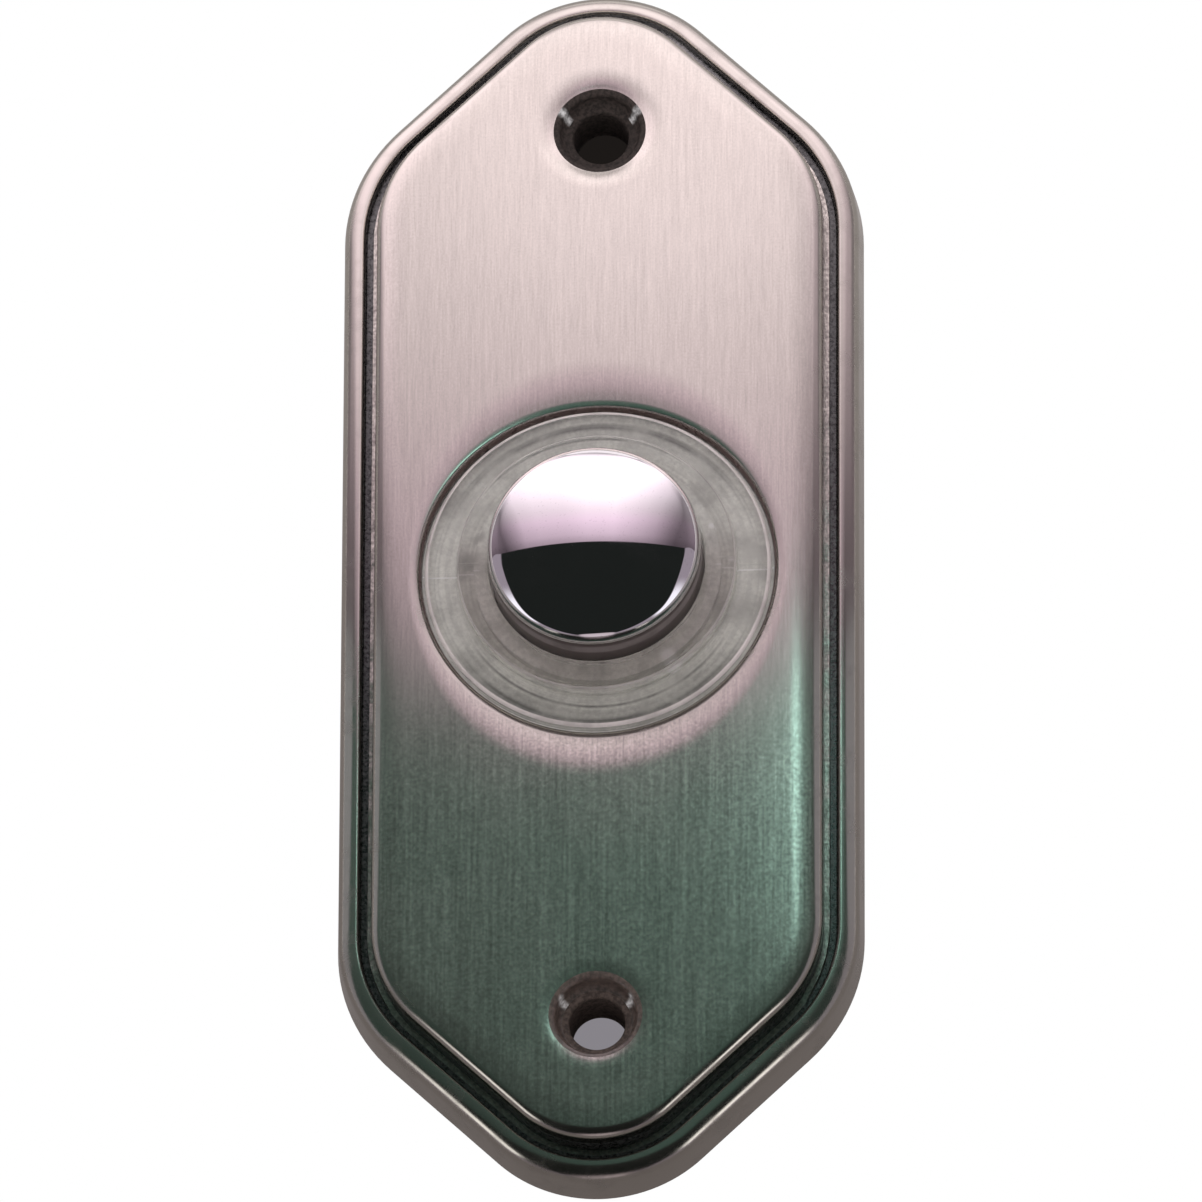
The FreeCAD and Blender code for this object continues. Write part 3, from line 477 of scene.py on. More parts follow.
def brushed_face(base):
    material, nodes, sockets = new_material("satin_plate_brushed")
    place = nodes.place()
    marks = nodes.group(brushing(), Place=place, Strength=1.0)
    parts = nodes.split(place)
    # Scratch marks change the tone more towards the bottom: real scratches, whose stronger show in the lower half is
    # painted light.
    low = nodes.spread(parts["Z"], -0.022, -0.006, 1.0, 0.0)
    uneven = nodes.maths("SUBTRACT", marks.outputs["Scratch"], 0.5)
    worn = nodes.maths("MULTIPLY", uneven, nodes.maths("MULTIPLY", low, 1.1))
    nodes.put(sockets["Base Color"], tinted(nodes, base, nodes.maths("ADD", marks.outputs["Tone"], worn)))
    sockets["Metallic"].default_value = 1.0
    nodes.put(sockets["Roughness"], nodes.spread(marks.outputs["Mask"], 0.0, 1.0, 0.235, 0.255))
    nodes.put(sockets["Normal"], nodes.bump(marks.outputs["Height"], 0.0000012))
    return material


def polished_edge(base):
    material, nodes, sockets = new_material("satin_plate_edge")
    place = nodes.place()
    marks = nodes.group(handling(), Place=place, Size=0.6, Amount=0.7)
    skin = nodes.group(as_cast(), Place=place, Grain=0.0002)
    nodes.put(sockets["Base Color"], tinted(nodes, base, nodes.spread(marks.outputs["Smudge"], 0, 1, 1.0, 0.86)))
    sockets["Metallic"].default_value = 1.0
    nodes.put(sockets["Roughness"], nodes.spread(marks.outputs["Smudge"], 0.0, 1.0, 0.2, 0.32))
    nodes.put(sockets["Normal"], nodes.bump(skin.outputs["Height"], 0.000002))
    return material


def dark_lip(base):
    """The browned edge of the round opening."""
    material, nodes, sockets = new_material("satin_plate_lip")
    marks = nodes.group(handling(), Place=nodes.place(), Size=0.4, Amount=1.0)
    brown = (base[0] * 0.17, base[1] * 0.125, base[2] * 0.13)
    nodes.put(sockets["Base Color"], nodes.blend(marks.outputs["Smudge"], brown, scaled(brown, 1.15)))
    sockets["Metallic"].default_value = 0.4
    nodes.put(sockets["Roughness"], nodes.spread(marks.outputs["Smudge"], 0, 1, 0.26, 0.36))
    nodes.put(sockets["Normal"], nodes.bump(marks.outputs["Height"], 0.000006))
    return material


def dark_groove(base):
    material, nodes, sockets = new_material("satin_plate_groove")
    place = nodes.place()
    skin = nodes.group(as_cast(), Place=place, Grain=0.0003)
    parts = nodes.split(place)
    dark = nodes.blend(skin.outputs["Mask"], base, scaled(base, 3.2))
    # Towards the plate's top end the dark patina gives way to a lighter colour: a painted reflection.
    painted_reflection = nodes.blend(skin.outputs["Mask"], scaled(base, 4), scaled(base, 7))
    nodes.put(sockets["Base Color"], nodes.blend(nodes.spread(parts["Z"], 0.042, 0.053), dark, painted_reflection))
    sockets["Metallic"].default_value = 0.9
    nodes.put(sockets["Roughness"], nodes.spread(skin.outputs["Mask"], 0, 1, 0.24, 0.42))
    nodes.put(sockets["Normal"], nodes.bump(skin.outputs["Height"], 0.000015))
    return material


def rough_ledge(base):
    material, nodes, sockets = new_material("satin_plate_ledge")
    skin = nodes.group(as_cast(), Place=nodes.place(), Grain=0.00028)
    nodes.put(sockets["Base Color"], nodes.blend(skin.outputs["Mask"], scaled(base, 0.7), scaled(base, 1.15)))
    sockets["Metallic"].default_value = 1.0
    nodes.put(sockets["Roughness"], nodes.spread(skin.outputs["Mask"], 0, 1, 0.42, 0.28))
    nodes.put(sockets["Normal"], nodes.bump(skin.outputs["Height"], 0.000035))
    return material


def bore_wall(name, low, high, rough=0.75, gloss=0.15, highlight_place=None):
    """The dark wall of a screw hole, with two pale bands that are painted highlights when their hole's place up the
    plate is given.
    """
    material, nodes, sockets = new_material(name)
    place = nodes.place()
    skin = nodes.group(as_cast(), Place=place, Grain=0.0003)
    dark = nodes.blend(skin.outputs["Mask"], low, high)
    if highlight_place:
        parts = nodes.split(place)
        across = nodes.maths("ABSOLUTE", parts["X"])
        up = nodes.maths("SUBTRACT", parts["Z"], highlight_place)
        lean = nodes.maths("DIVIDE", up, nodes.maths("MAXIMUM", across, 0.0001))
        # Two pale bands, up and out to each side of the hole's middle, are painted highlights.
        painted_highlight = nodes.between(lean, 0.38, 0.58, 0.6, 0.8)
        inside = nodes.maths("MULTIPLY", painted_highlight, nodes.spread(parts["Y"], -0.0061, -0.0057))
        patchy_highlight = nodes.maths("MULTIPLY", inside, nodes.spread(skin.outputs["Mask"], 0, 1, 0.35, 0.9))
        dark = nodes.blend(patchy_highlight, dark, (0.6, 0.62, 0.62))
    nodes.put(sockets["Base Color"], dark)
    sockets["Roughness"].default_value = rough
    sockets["Specular IOR Level"].default_value = gloss
    nodes.put(sockets["Normal"], nodes.bump(skin.outputs["Height"], 0.00001))
    return material


def plate_back(base):
    material, nodes, sockets = new_material("satin_plate_back")
    skin = nodes.group(as_cast(), Place=nodes.place(), Grain=0.0006)
    nodes.put(sockets["Base Color"], nodes.blend(skin.outputs["Mask"], scaled(base, 0.5), scaled(base, 0.75)))
    sockets["Metallic"].default_value = 0.9
    nodes.put(sockets["Roughness"], nodes.spread(skin.outputs["Mask"], 0, 1, 0.42, 0.56))
    nodes.put(sockets["Normal"], nodes.bump(skin.outputs["Height"], 0.00006))
    return material


def witness_line(nodes, place, half):
    """The mask of the moulding's parting line, which crosses the ring on both sides."""
    parts = nodes.split(place)
    thin = nodes.spread(nodes.maths("ABSOLUTE", parts["Z"]), half * 0.4, half, 1.0, 0.0)
    outside = nodes.spread(nodes.maths("ABSOLUTE", parts["X"]), 0.0098, 0.0103)
    return nodes.maths("MULTIPLY", thin, outside)


def spots(nodes, place, marks):
    """A mask of round marks, each given by its place across and up and its radius."""
    mask = 0.0
    for x, z, radius in marks:
        away = nodes.add("ShaderNodeVectorMath", operation="SUBTRACT")
        nodes.put(away.inputs[0], place)
        away.inputs[1].default_value = (x, 0, z)
        flat = nodes.add("ShaderNodeVectorMath", operation="MULTIPLY")
        nodes.put(flat.inputs[0], away.outputs[0])
        flat.inputs[1].default_value = (1, 0, 1)
        far = nodes.add("ShaderNodeVectorMath", operation="LENGTH")
        nodes.put(far.inputs[0], flat.outputs[0])
        mask = nodes.maths("MAXIMUM", mask, nodes.spread(far.outputs["Value"], radius * 0.3, radius, 1.0, 0.0))
    return mask


def clear_plastic(name, low, high):
    """Clear plastic, whose colour goes from one tint below the middle to another above it; where they differ, the
    darker tint below is painted shade.
    """
    material, nodes, sockets = new_material(name)
    place = nodes.place()
    marks = nodes.group(handling(), Place=place, Size=0.45, Amount=1.0)
    seam = witness_line(nodes, place, 0.00012)
    parts = nodes.split(place)
    # A darker tint below the middle is painted shade.
    tint = nodes.blend(nodes.spread(parts["Z"], -0.0005, 0.0045), low, high)
    nodes.put(sockets["Base Color"], tinted(nodes, tint, nodes.spread(marks.outputs["Smudge"], 0, 1, 1.0, 0.72)))
    sockets["Transmission Weight"].default_value = 1.0
    sockets["IOR"].default_value = 1.49
    nodes.put(sockets["Roughness"], nodes.maths("MULTIPLY_ADD", marks.outputs["Smudge"], 0.08, 0.03))
    height = nodes.maths("MULTIPLY_ADD", marks.outputs["Height"], 0.25, seam)
    nodes.put(sockets["Normal"], nodes.bump(height, 0.00006))
    return material


def painted_edge_line(name, tint):
    """An edge of the clear plastic, matt and partly opaque, whose tint paints a line along it: a pale tint is a painted
    highlight, a dark one painted shade.
    """
    material, nodes, sockets = new_material(name)
    marks = nodes.group(handling(), Place=nodes.place(), Size=0.5, Amount=1.0)
    nodes.put(sockets["Base Color"], nodes.blend(marks.outputs["Smudge"], tint, scaled(tint, 0.7)))
    sockets["Transmission Weight"].default_value = 0.35
    sockets["Roughness"].default_value = 0.3
    sockets["IOR"].default_value = 1.49
    nodes.put(sockets["Normal"], nodes.bump(marks.outputs["Height"], 0.00002))
    return material


def frosted_plastic(tint):
    """The ring's matt rear, which hides what lies behind it: turned bands, dark rings towards the top and bottom that
    are painted shade, smudges, white dots of which the one at the lower right is a painted highlight, and the parting
    line painted white as a highlight.
    """
    material, nodes, sockets = new_material("clear_ring_rear")
    place = nodes.place()
    skin = nodes.group(as_cast(), Place=place, Grain=0.00035)
    marks = nodes.group(handling(), Place=place, Size=0.8, Amount=1.0)
    radius = nodes.split(nodes.round_the_axis(1.0))
    parts = nodes.split(place)
    # Dark rings at given radii, painted shade, shown only where the ring runs across its top and bottom.
    steps = ramp(nodes, radius["X"], 0.0118, 0.0148, [
        (radius_mm * MM, (tone, tone, tone)) for radius_mm, tone in (
            (11.8, 1.0), (12.1, 0.95), (12.3, 0.3), (12.5, 0.9), (12.9, 0.75), (13.3, 0.62), (13.65, 0.28),
            (13.9, 0.45), (14.15, 1.0), (14.8, 1.0))])
    upright = nodes.maths("DIVIDE", nodes.maths("ABSOLUTE", parts["Z"]), radius["X"])
    bands = nodes.noise(nodes.round_the_axis(1300), 1.0, 3.0, 0.65)
    light = nodes.blend(skin.outputs["Mask"], scaled(tint, 0.85), tint)
    turned = tinted(nodes, light, nodes.spread(bands, 0.4, 0.56, 0.84, 1.0))
    shade_ringed = nodes.blend(nodes.spread(upright, 0.35, 0.85), turned, nodes.blend(1.0, turned, steps, "MULTIPLY"))
    worn = nodes.blend(marks.outputs["Smudge"], shade_ringed, scaled(tint, 0.66))
    smudged = nodes.blend(spots(nodes, place, [(-0.0109, 0.0011, 0.0011), (-0.0101, 0.0032, 0.0008)]),
                          worn, scaled(tint, 0.6))
    # White dots; the one at the lower right is a painted highlight.
    dotted = nodes.blend(spots(nodes, place, [(0.0060, -0.0083, 0.0009), (0.0097, 0.0036, 0.0004),
                                              (0.0112, 0.0008, 0.00035)]), smudged, (1, 1, 1))
    # The parting line is painted white here: a painted highlight.
    nodes.put(sockets["Base Color"], nodes.blend(witness_line(nodes, place, 0.00009), dotted, (1, 1, 1)))
    sockets["Roughness"].default_value = 0.5
    nodes.put(sockets["Normal"], nodes.bump(skin.outputs["Height"], 0.00004))
    return material


def mirror_chrome(base):
    material, nodes, sockets = new_material("chrome_cap")
    marks = nodes.group(handling(), Place=nodes.place(), Size=0.5, Amount=1.0)
    nodes.put(sockets["Base Color"], nodes.blend(marks.outputs["Grit"], base, scaled(base, 0.9)))
    sockets["Metallic"].default_value = 1.0
    nodes.put(sockets["Roughness"], nodes.maths("MULTIPLY_ADD", marks.outputs["Smudge"], 0.03, 0.02))
    return material


def cap_skirt():
    """The dark brown skirt under the mirror dome, with a lighter band round it."""
    material, nodes, sockets = new_material("chrome_cap_skirt")
    place = nodes.place()
    marks = nodes.group(handling(), Place=place, Size=0.5, Amount=1.0)
    parts = nodes.split(place)
    height = nodes.maths("MULTIPLY", parts["Y"], -1.0)
    # A lighter band round the skirt, broken by smudges.
    band = nodes.between(height, 0.0084, 0.0087, 0.0095, 0.0098)
    worn = nodes.maths("MULTIPLY", band, nodes.spread(marks.outputs["Smudge"], 0, 1, 1.0, 0.5))
    nodes.put(sockets["Base Color"], nodes.blend(worn, (0.05, 0.04, 0.038), (0.14, 0.12, 0.12)))
    sockets["Metallic"].default_value = 0.2
    sockets["Roughness"].default_value = 0.38
    nodes.put(sockets["Normal"], nodes.bump(marks.outputs["Height"], 0.000006))
    return material


def moulding(name, low, high, rough):
    """Moulded plastic with a faint skin."""
    material, nodes, sockets = new_material(name)
    place = nodes.place()
    skin = nodes.group(as_cast(), Place=place, Grain=0.0004)
    marks = nodes.group(handling(), Place=place, Size=1.5, Amount=0.6)
    nodes.put(sockets["Base Color"], nodes.blend(marks.outputs["Smudge"], high, low))
    nodes.put(sockets["Roughness"], nodes.spread(skin.outputs["Mask"], 0, 1, rough, rough + 0.12))
    nodes.put(sockets["Normal"], nodes.bump(skin.outputs["Height"], 0.00001))
    return material


def plain_metal(name, low, high, rough, grain=0.0004, depth=0.000008):
    """Small metal parts: tarnish in patches and fine tool marks."""
    material, nodes, sockets = new_material(name)
    place = nodes.place()
    skin = nodes.group(as_cast(), Place=place, Grain=grain)
    marks = nodes.group(handling(), Place=place, Size=0.7, Amount=1.0)
    nodes.put(sockets["Base Color"], nodes.blend(marks.outputs["Smudge"], high, low))
    sockets["Metallic"].default_value = 1.0
    nodes.put(sockets["Roughness"], nodes.spread(marks.outputs["Smudge"], 0, 1, rough, rough + 0.2))
    nodes.put(sockets["Normal"], nodes.bump(skin.outputs["Height"], depth))
    return material


def dress(node, material):
    """Gives a CAD node its finish."""
    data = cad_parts[node].data
    data.materials.clear()
    data.materials.append(material)
    for polygon in data.polygons:
        polygon.material_index = 0


class Outline:
    """The plate's outline: six rounded corners whose centres stay put at every inset."""

    def __init__(self, plate):
        half = plate.width / 2
        apex = plate.tall / 2 - plate.apex_radius
        corner = apex + plate.apex_radius / math.cos(plate.slant)
        shoulder = corner - half * math.tan(plate.slant)
        turn = math.pi / 2 - plate.slant
        beside = half - plate.shoulder_radius
        above = shoulder - plate.shoulder_radius * math.tan(turn / 2)
        quarter = math.pi / 2
        self.arcs = [
            (beside, above, plate.shoulder_radius, 0, turn, 14),
            (0, apex, plate.apex_radius, turn, 2 * quarter - turn, 30),
            (-beside, above, plate.shoulder_radius, 2 * quarter - turn, 2 * quarter, 14),
            (-beside, -above, plate.shoulder_radius, 2 * quarter, 2 * quarter + turn, 14),
            (0, -apex, plate.apex_radius, 2 * quarter + turn, 4 * quarter - turn, 30),
            (beside, -above, plate.shoulder_radius, 4 * quarter - turn, 4 * quarter, 14),
        ]
        self.along_side = 70
        self.along_slant = 8

    def points(self, inset, height):
        """The outline at an inset. The height is a number, or a function of the place along Z."""
        flat = []
        for number, (x, z, radius, start, end, steps) in enumerate(self.arcs):
            reach = radius - inset
            for i in range(steps + 1):
                a = start + (end - start) * i / steps
                flat.append((x + reach * math.cos(a), z + reach * math.sin(a)))
            next_x, next_z, next_radius = self.arcs[(number + 1) % 6][:3]
            on = (next_x + (next_radius - inset) * math.cos(end), next_z + (next_radius - inset) * math.sin(end))
            here = flat[-1]
            cuts = self.along_side if number in (2, 5) else self.along_slant
            for i in range(1, cuts):
                part = i / cuts
                flat.append((here[0] + (on[0] - here[0]) * part, here[1] + (on[1] - here[1]) * part))
        level = height if callable(height) else (lambda z: height)
        return [Vector((x, -level(z), z)) for x, z in flat]


def quarter_round(steps, start=0.0, end=90.0):
    """Sine and cosine at even steps of a rounding."""
    angles = [math.radians(start + (end - start) * i / steps) for i in range(steps + 1)]
    return [(math.sin(a), math.cos(a)) for a in angles]


def dished(radius, lip, width_at, slope, face_height, count, x, z, steps=DISH_STEPS):
    """Rings from the flat face down a shallow dish, over a rounded lip, to a wall of that radius."""
    rings = []
    turns = [2 * math.pi * i / count for i in range(count)]
    for step in range(steps + 1):
        part = 1 - step / steps
        ring = []
        for t in turns:
            wide = width_at(t)
            reach = radius + lip + wide * part
            drop = slope * wide * (1 - part) ** 2 / 2
            ring.append(Vector((x + reach * math.cos(t), -(face_height - drop), z + reach * math.sin(t))))
        rings.append(ring)
    edge = [slope * width_at(t) / 2 for t in turns]
    for sine, cosine in quarter_round(7, math.degrees(math.atan(slope)))[1:]:
        reach = radius + lip * (1 - sine)
        ring = []
        for t, low in zip(turns, edge):
            height = face_height - low - lip * (1 - cosine)
            ring.append(Vector((x + reach * math.cos(t), -height, z + reach * math.sin(t))))
        rings.append(ring)
    return rings


class DOORBELL_OT_faceplate(bpy.types.Operator):
    """Builds the die-cast plate: rolled rim, dark groove, cast ledges, brushed face, holes and hollow back"""
    bl_idname = "doorbell.faceplate"
    bl_label = "Wall plate"

    def execute(self, context):
        plate = context.scene.doorbell_plate
        metal, patina = tuple(plate.metal), tuple(plate.patina)
        face, edge, groove = brushed_face(metal), polished_edge(metal), dark_groove(patina)
        ledge, back = rough_ledge(metal), plate_back(metal)
        # The upper hole's lining is a darker copy of the lower hole's brown one: painted shade.
        shaded_pair = ((0.02, 0.017, 0.015), (0.045, 0.036, 0.032))
        brown_pair = ((0.04, 0.032, 0.028), (0.085, 0.066, 0.057))
        linings = {
            1: (bore_wall("satin_plate_funnel", *shaded_pair, highlight_place=plate.hole_place),
                bore_wall("satin_plate_bore", *shaded_pair)),
            -1: (bore_wall("satin_plate_funnel_lower", *brown_pair, 0.28, 0.6, highlight_place=-plate.hole_place),
                 bore_wall("satin_plate_bore_lower", *brown_pair)),
        }
        lip_metal = dark_lip(metal)
        outline = Outline(plate)
        surface = Surface("wall_plate")

        rim = plate.rim_height
        lean = math.tan(plate.rim_draft)
        turn = 90 - math.degrees(plate.rim_draft)
        round_start = rim - plate.rim_round * (1 - math.sin(plate.rim_draft))
        flank = [(0.0, 0.0), (lean * round_start * 0.5, round_start * 0.5)]
        middle = lean * round_start + plate.rim_round * math.cos(plate.rim_draft)
        for sine, cosine in quarter_round(9, 0, turn):
            a = math.asin(sine) + plate.rim_draft
            flank.append((middle - plate.rim_round * math.cos(a), rim - plate.rim_round * (1 - math.sin(a))))
        inner = plate.rim_width - plate.rim_inner_round
        bead = [(inner + plate.rim_inner_round * sine, rim - plate.rim_inner_round * (1 - cosine))
                for sine, cosine in quarter_round(6)]
        rings = [outline.points(*station) for station in flank + bead]
        loops = surface.bands(rings, edge)
        outer_foot, bead_foot = loops[0], loops[-1]

        floor = plate.groove_height
        ledge_start = plate.rim_width + plate.groove_width
        ledge_end = ledge_start + plate.ledge_width
        loops = surface.bands([bead_foot, outline.points(plate.rim_width, floor + 0.0001),
                               outline.points(plate.rim_width + 0.0001, floor),
                               outline.points(ledge_start, floor)], groove)

        def ledge_top(z):
            past = (abs(z) - plate.ledge_reach) / 0.001
            kept = min(1.0, max(0.0, 1 - past))
            nicks = 0.00005 * math.sin(z * 5200) + 0.00004 * math.sin(z * 2100 + 1.3)
            return floor + (plate.ledge_height - floor + nicks) * kept

        loops = surface.bands([loops[-1], outline.points(ledge_start + 0.00006, ledge_top),
                               outline.points(ledge_end, ledge_top)], ledge)
        crown_slope = math.atan(2 * plate.crown_fall / plate.crown_width)
        wall_top = plate.face_height - plate.crown_fall - plate.face_round * math.cos(crown_slope)
        loops = surface.bands([loops[-1], outline.points(ledge_end, floor + 0.0007),
                               outline.points(ledge_end, wall_top - 0.0007)], groove)
        over = [(ledge_end + plate.face_round * (1 - cosine), wall_top + plate.face_round * sine)
                for sine, cosine in quarter_round(8, 0, 90 - math.degrees(crown_slope))]
        loops = surface.bands([loops[-1]] + [outline.points(*station) for station in over], edge)
        crown_start = over[-1][0]
        crown = [outline.points(crown_start + plate.crown_width * i / 8,
                                plate.face_height - plate.crown_fall * (1 - i / 8) ** 2) for i in range(1, 9)]
        border = surface.bands([loops[-1]] + crown, face)[-1]

        slope = math.tan(plate.dish_slope)
        border_reach = plate.width / 2 - crown_start - plate.crown_width
        narrow = border_reach - plate.opening_radius - plate.opening_round - DISH_GAP

        def dish_width(t):
            return narrow + (plate.dish_width - narrow) * math.sin(t) ** 2

        dish = dished(plate.opening_radius, plate.opening_round, dish_width, slope, plate.face_height,
                      OPENING_STEPS, 0, 0)
        lip_start = DISH_STEPS + 1
        brown_start = lip_start + CLEAN_LIP_STEPS
        dish_loops = surface.bands(dish[:lip_start], face)
        clean_lip = surface.bands([dish_loops[-1]] + dish[lip_start:brown_start], edge)
        lip_loops = surface.bands([clean_lip[-1]] + dish[brown_start:], lip_metal)
        under_face = plate.face_height - FACE_WALL
        rear_ring = ring_of(plate.opening_radius, under_face, OPENING_STEPS)
        opening_rear = surface.bands([lip_loops[-1], rear_ring], groove)[-1]
        dishes = {
            1: (plate.upper_dish, plate.upper_slope),
            -1: (plate.mouth_dish, plate.mouth_slope),
        }
        inner_borders = [dish_loops[0]]
        bore_rears = []
        for side in (1, -1):
            z = plate.hole_place * side
            wide, steep = dishes[side]
            mouth = dished(plate.mouth_radius, plate.mouth_round, lambda t: wide, math.tan(steep),
                           plate.face_height, HOLE_STEPS, 0, z)
            mouth_loops = surface.bands(mouth[:lip_start], face)
            inner_borders.append(mouth_loops[0])
            lining, dull = linings[side]
            wall = surface.bands([mouth_loops[-1]] + mouth[lip_start:], lining)
            seat = plate.face_height - plate.mouth_depth
            hollow, turn_over = plate.funnel_round, plate.hole_edge_round
            profile = [(plate.mouth_radius - hollow * (1 - cosine), seat + hollow * (1 - sine))
                       for sine, cosine in quarter_round(7, 0, 62)]
            funnel = surface.bands([wall[-1]] + [ring_of(r, h, HOLE_STEPS, 0, z) for r, h in profile], lining)
            profile = [(plate.hole_radius + turn_over * (1 - sine), seat + 0.0001 - turn_over * (1 - cosine))
                       for sine, cosine in quarter_round(6, 28, 90)]
            profile += [(plate.hole_radius, 0.001), (plate.hole_radius, 0.0)]
            bore = surface.bands([funnel[-1]] + [ring_of(r, h, HOLE_STEPS, 0, z) for r, h in profile], dull)
            boss_radius = plate.hole_radius + BOSS_WALL
            boss = surface.bands([bore[-1], ring_of(boss_radius, 0.0, HOLE_STEPS, 0, z),
                                  ring_of(boss_radius, under_face, HOLE_STEPS, 0, z)], back)
            bore_rears.append(boss[-1])
        surface.flat([border] + inner_borders, face)

        under_groove = floor - GROOVE_WALL
        hollow = surface.bands([outer_foot] + [outline.points(*station) for station in (
            (plate.rear_width, 0.0), (plate.rear_width, under_groove), (plate.hollow_inset, under_groove),
            (plate.hollow_inset, under_face))], back)
        surface.flat([hollow[-1], opening_rear] + bore_rears, back)
        for side in (1, -1):
            z = POST_PLACE * side
            root, end = under_face - 0.00002, under_face - POST_LENGTH
            post = surface.bands([ring_of(POST_RADIUS, root, POST_STEPS, 0, z),
                                  ring_of(POST_RADIUS, end, POST_STEPS, 0, z)], back)
            surface.cap(post[-1], Vector((0, -end, z)), back)

        piece = surface.make()
        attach(piece, "plate")
        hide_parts("faceplate")
        return {"FINISHED"}


def rounded(corners, steps=6):
    """A profile whose corners are given as (radius, height) or, rounded, as (radius, height, rounding)."""
    profile = []
    count = len(corners)
    for i, corner in enumerate(corners):
        here = Vector(corner[:2])
        if len(corner) < 3:
            profile.append(tuple(here))
            continue
        back = (Vector(corners[i - 1][:2]) - here).normalized()
        ahead = (Vector(corners[(i + 1) % count][:2]) - here).normalized()
        half = back.angle(ahead) / 2
        start = here + back * corner[2] / math.tan(half)
        end = here + ahead * corner[2] / math.tan(half)
        centre = here + (back + ahead).normalized() * corner[2] / math.sin(half)
        for step in range(steps + 1):
            way = start.lerp(end, step / steps) - centre
            profile.append(tuple(centre + way.normalized() * corner[2]))
    return profile


class DOORBELL_OT_ring(bpy.types.Operator):
    """Builds the clear stepped ring round the button"""
    bl_idname = "doorbell.ring"
    bl_label = "Clear ring"

    def execute(self, context):
        ring = context.scene.doorbell_ring
        rear, hub_face = -RING_HIGH.y + 0.00003, -RING_LOW.y
        flange = RING_HIGH.x
        front = rounded([
            (ring.bore, hub_face - HUB_LIP),
            (ring.bore, hub_face, 0.0003),
            (ring.hub_radius, hub_face, 0.0003),
            (ring.hub_radius, RING_FACE, 0.00025),
            (ring.radius, RING_FACE, 0.00045),
            (ring.radius, RING_SEAT),
        ])
        rear_side = [(flange, RING_SEAT), (flange, rear), (RING_REAR_BORE, rear),
                     (RING_REAR_BORE, hub_face - HUB_LIP)]
        tint = tuple(ring.tint)
        # The hub is darker below its middle: painted shade under the button.
        hub = clear_plastic("clear_ring_hub", tuple(ring.hub_shaded_tint), scaled(tint, 0.9))
        flange_face = clear_plastic("clear_ring", tint, tint)
        # The hub's edge gets a dark line, painted shade; the outer edge a pale one, a painted highlight.
        hub_edge = painted_edge_line("clear_ring_hub_edge", (0.36, 0.34, 0.33))
        outer_edge = painted_edge_line("clear_ring_edge", (0.62, 0.58, 0.57))
        surface = Surface("stepped_ring")
        loops = [surface.loop(ring_of(*station, ROUND_STEPS)) for station in front]
        # From the bore outwards: the hub, its painted edge line, the outer face, the painted outer edge line and the
        # side.
        finishes = [hub] * 10 + [hub_edge] * 3 + [flange_face] * 10 + [outer_edge] * 3
        finishes += [flange_face] * (len(loops) - 1 - len(finishes))
        for first, second, finish in zip(loops, loops[1:], finishes):
            surface.band(first, second, finish)
        frost = frosted_plastic(tuple(ring.frost))
        loops += surface.bands([loops[-1]] + [ring_of(*station, ROUND_STEPS) for station in rear_side], frost)
        surface.band(loops[-1], loops[0], frost)
        piece = surface.make()
        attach(piece, "plate")
        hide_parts("lens_ring")
        return {"FINISHED"}


class DOORBELL_OT_button(bpy.types.Operator):
    """Builds the mirror cap and dresses the core under it"""
    bl_idname = "doorbell.button"
    bl_label = "Button"

    def execute(self, context):
        button = context.scene.doorbell_button
        top, foot = -CAP_LOW.y, -CAP_HIGH.y
        reach = button.dome_radius - button.edge_round
        tilt = math.asin((button.radius - button.edge_round) / reach)
        dome_centre = top - button.dome_radius
        edge_height = dome_centre + reach * math.cos(tilt)
        inner = button.radius - CAP_WALL
        profile = [(inner, foot), (button.radius - 0.0001, foot), (button.radius, foot + 0.0001),
                   (button.radius, edge_height)]
        for i in range(1, 13):
            a = math.pi / 2 - (math.pi / 2 - tilt) * i / 12
            profile.append((button.radius - button.edge_round * (1 - math.sin(a)),
                            edge_height + button.edge_round * math.cos(a)))
        for i in range(1, 24):
            a = tilt * (1 - i / 24)
            profile.append((button.dome_radius * math.sin(a), dome_centre + button.dome_radius * math.cos(a)))
        chrome = mirror_chrome(tuple(button.chrome))
        surface = Surface("mirror_cap")
        stations = [ring_of(radius, height, ROUND_STEPS) for radius, height in profile]
        skirt = surface.bands(stations[:4], cap_skirt())
        loops = skirt[:1] + surface.bands([skirt[-1]] + stations[4:], chrome)
        surface.cap(loops[-1], Vector((0, -top, 0)), chrome)
        ceiling = -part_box("button_plunger")[0].y + 0.00005
        inside = surface.bands([loops[0], ring_of(inner, ceiling, ROUND_STEPS)], chrome)
        surface.cap(inside[-1], Vector((0, -ceiling, 0)), chrome)
        piece = surface.make()
        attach(piece, "button")
        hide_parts("button_cap")
        dress("button_plunger", moulding("white_moulding", (0.62, 0.6, 0.56), (0.8, 0.79, 0.76), 0.35))
        return {"FINISHED"}


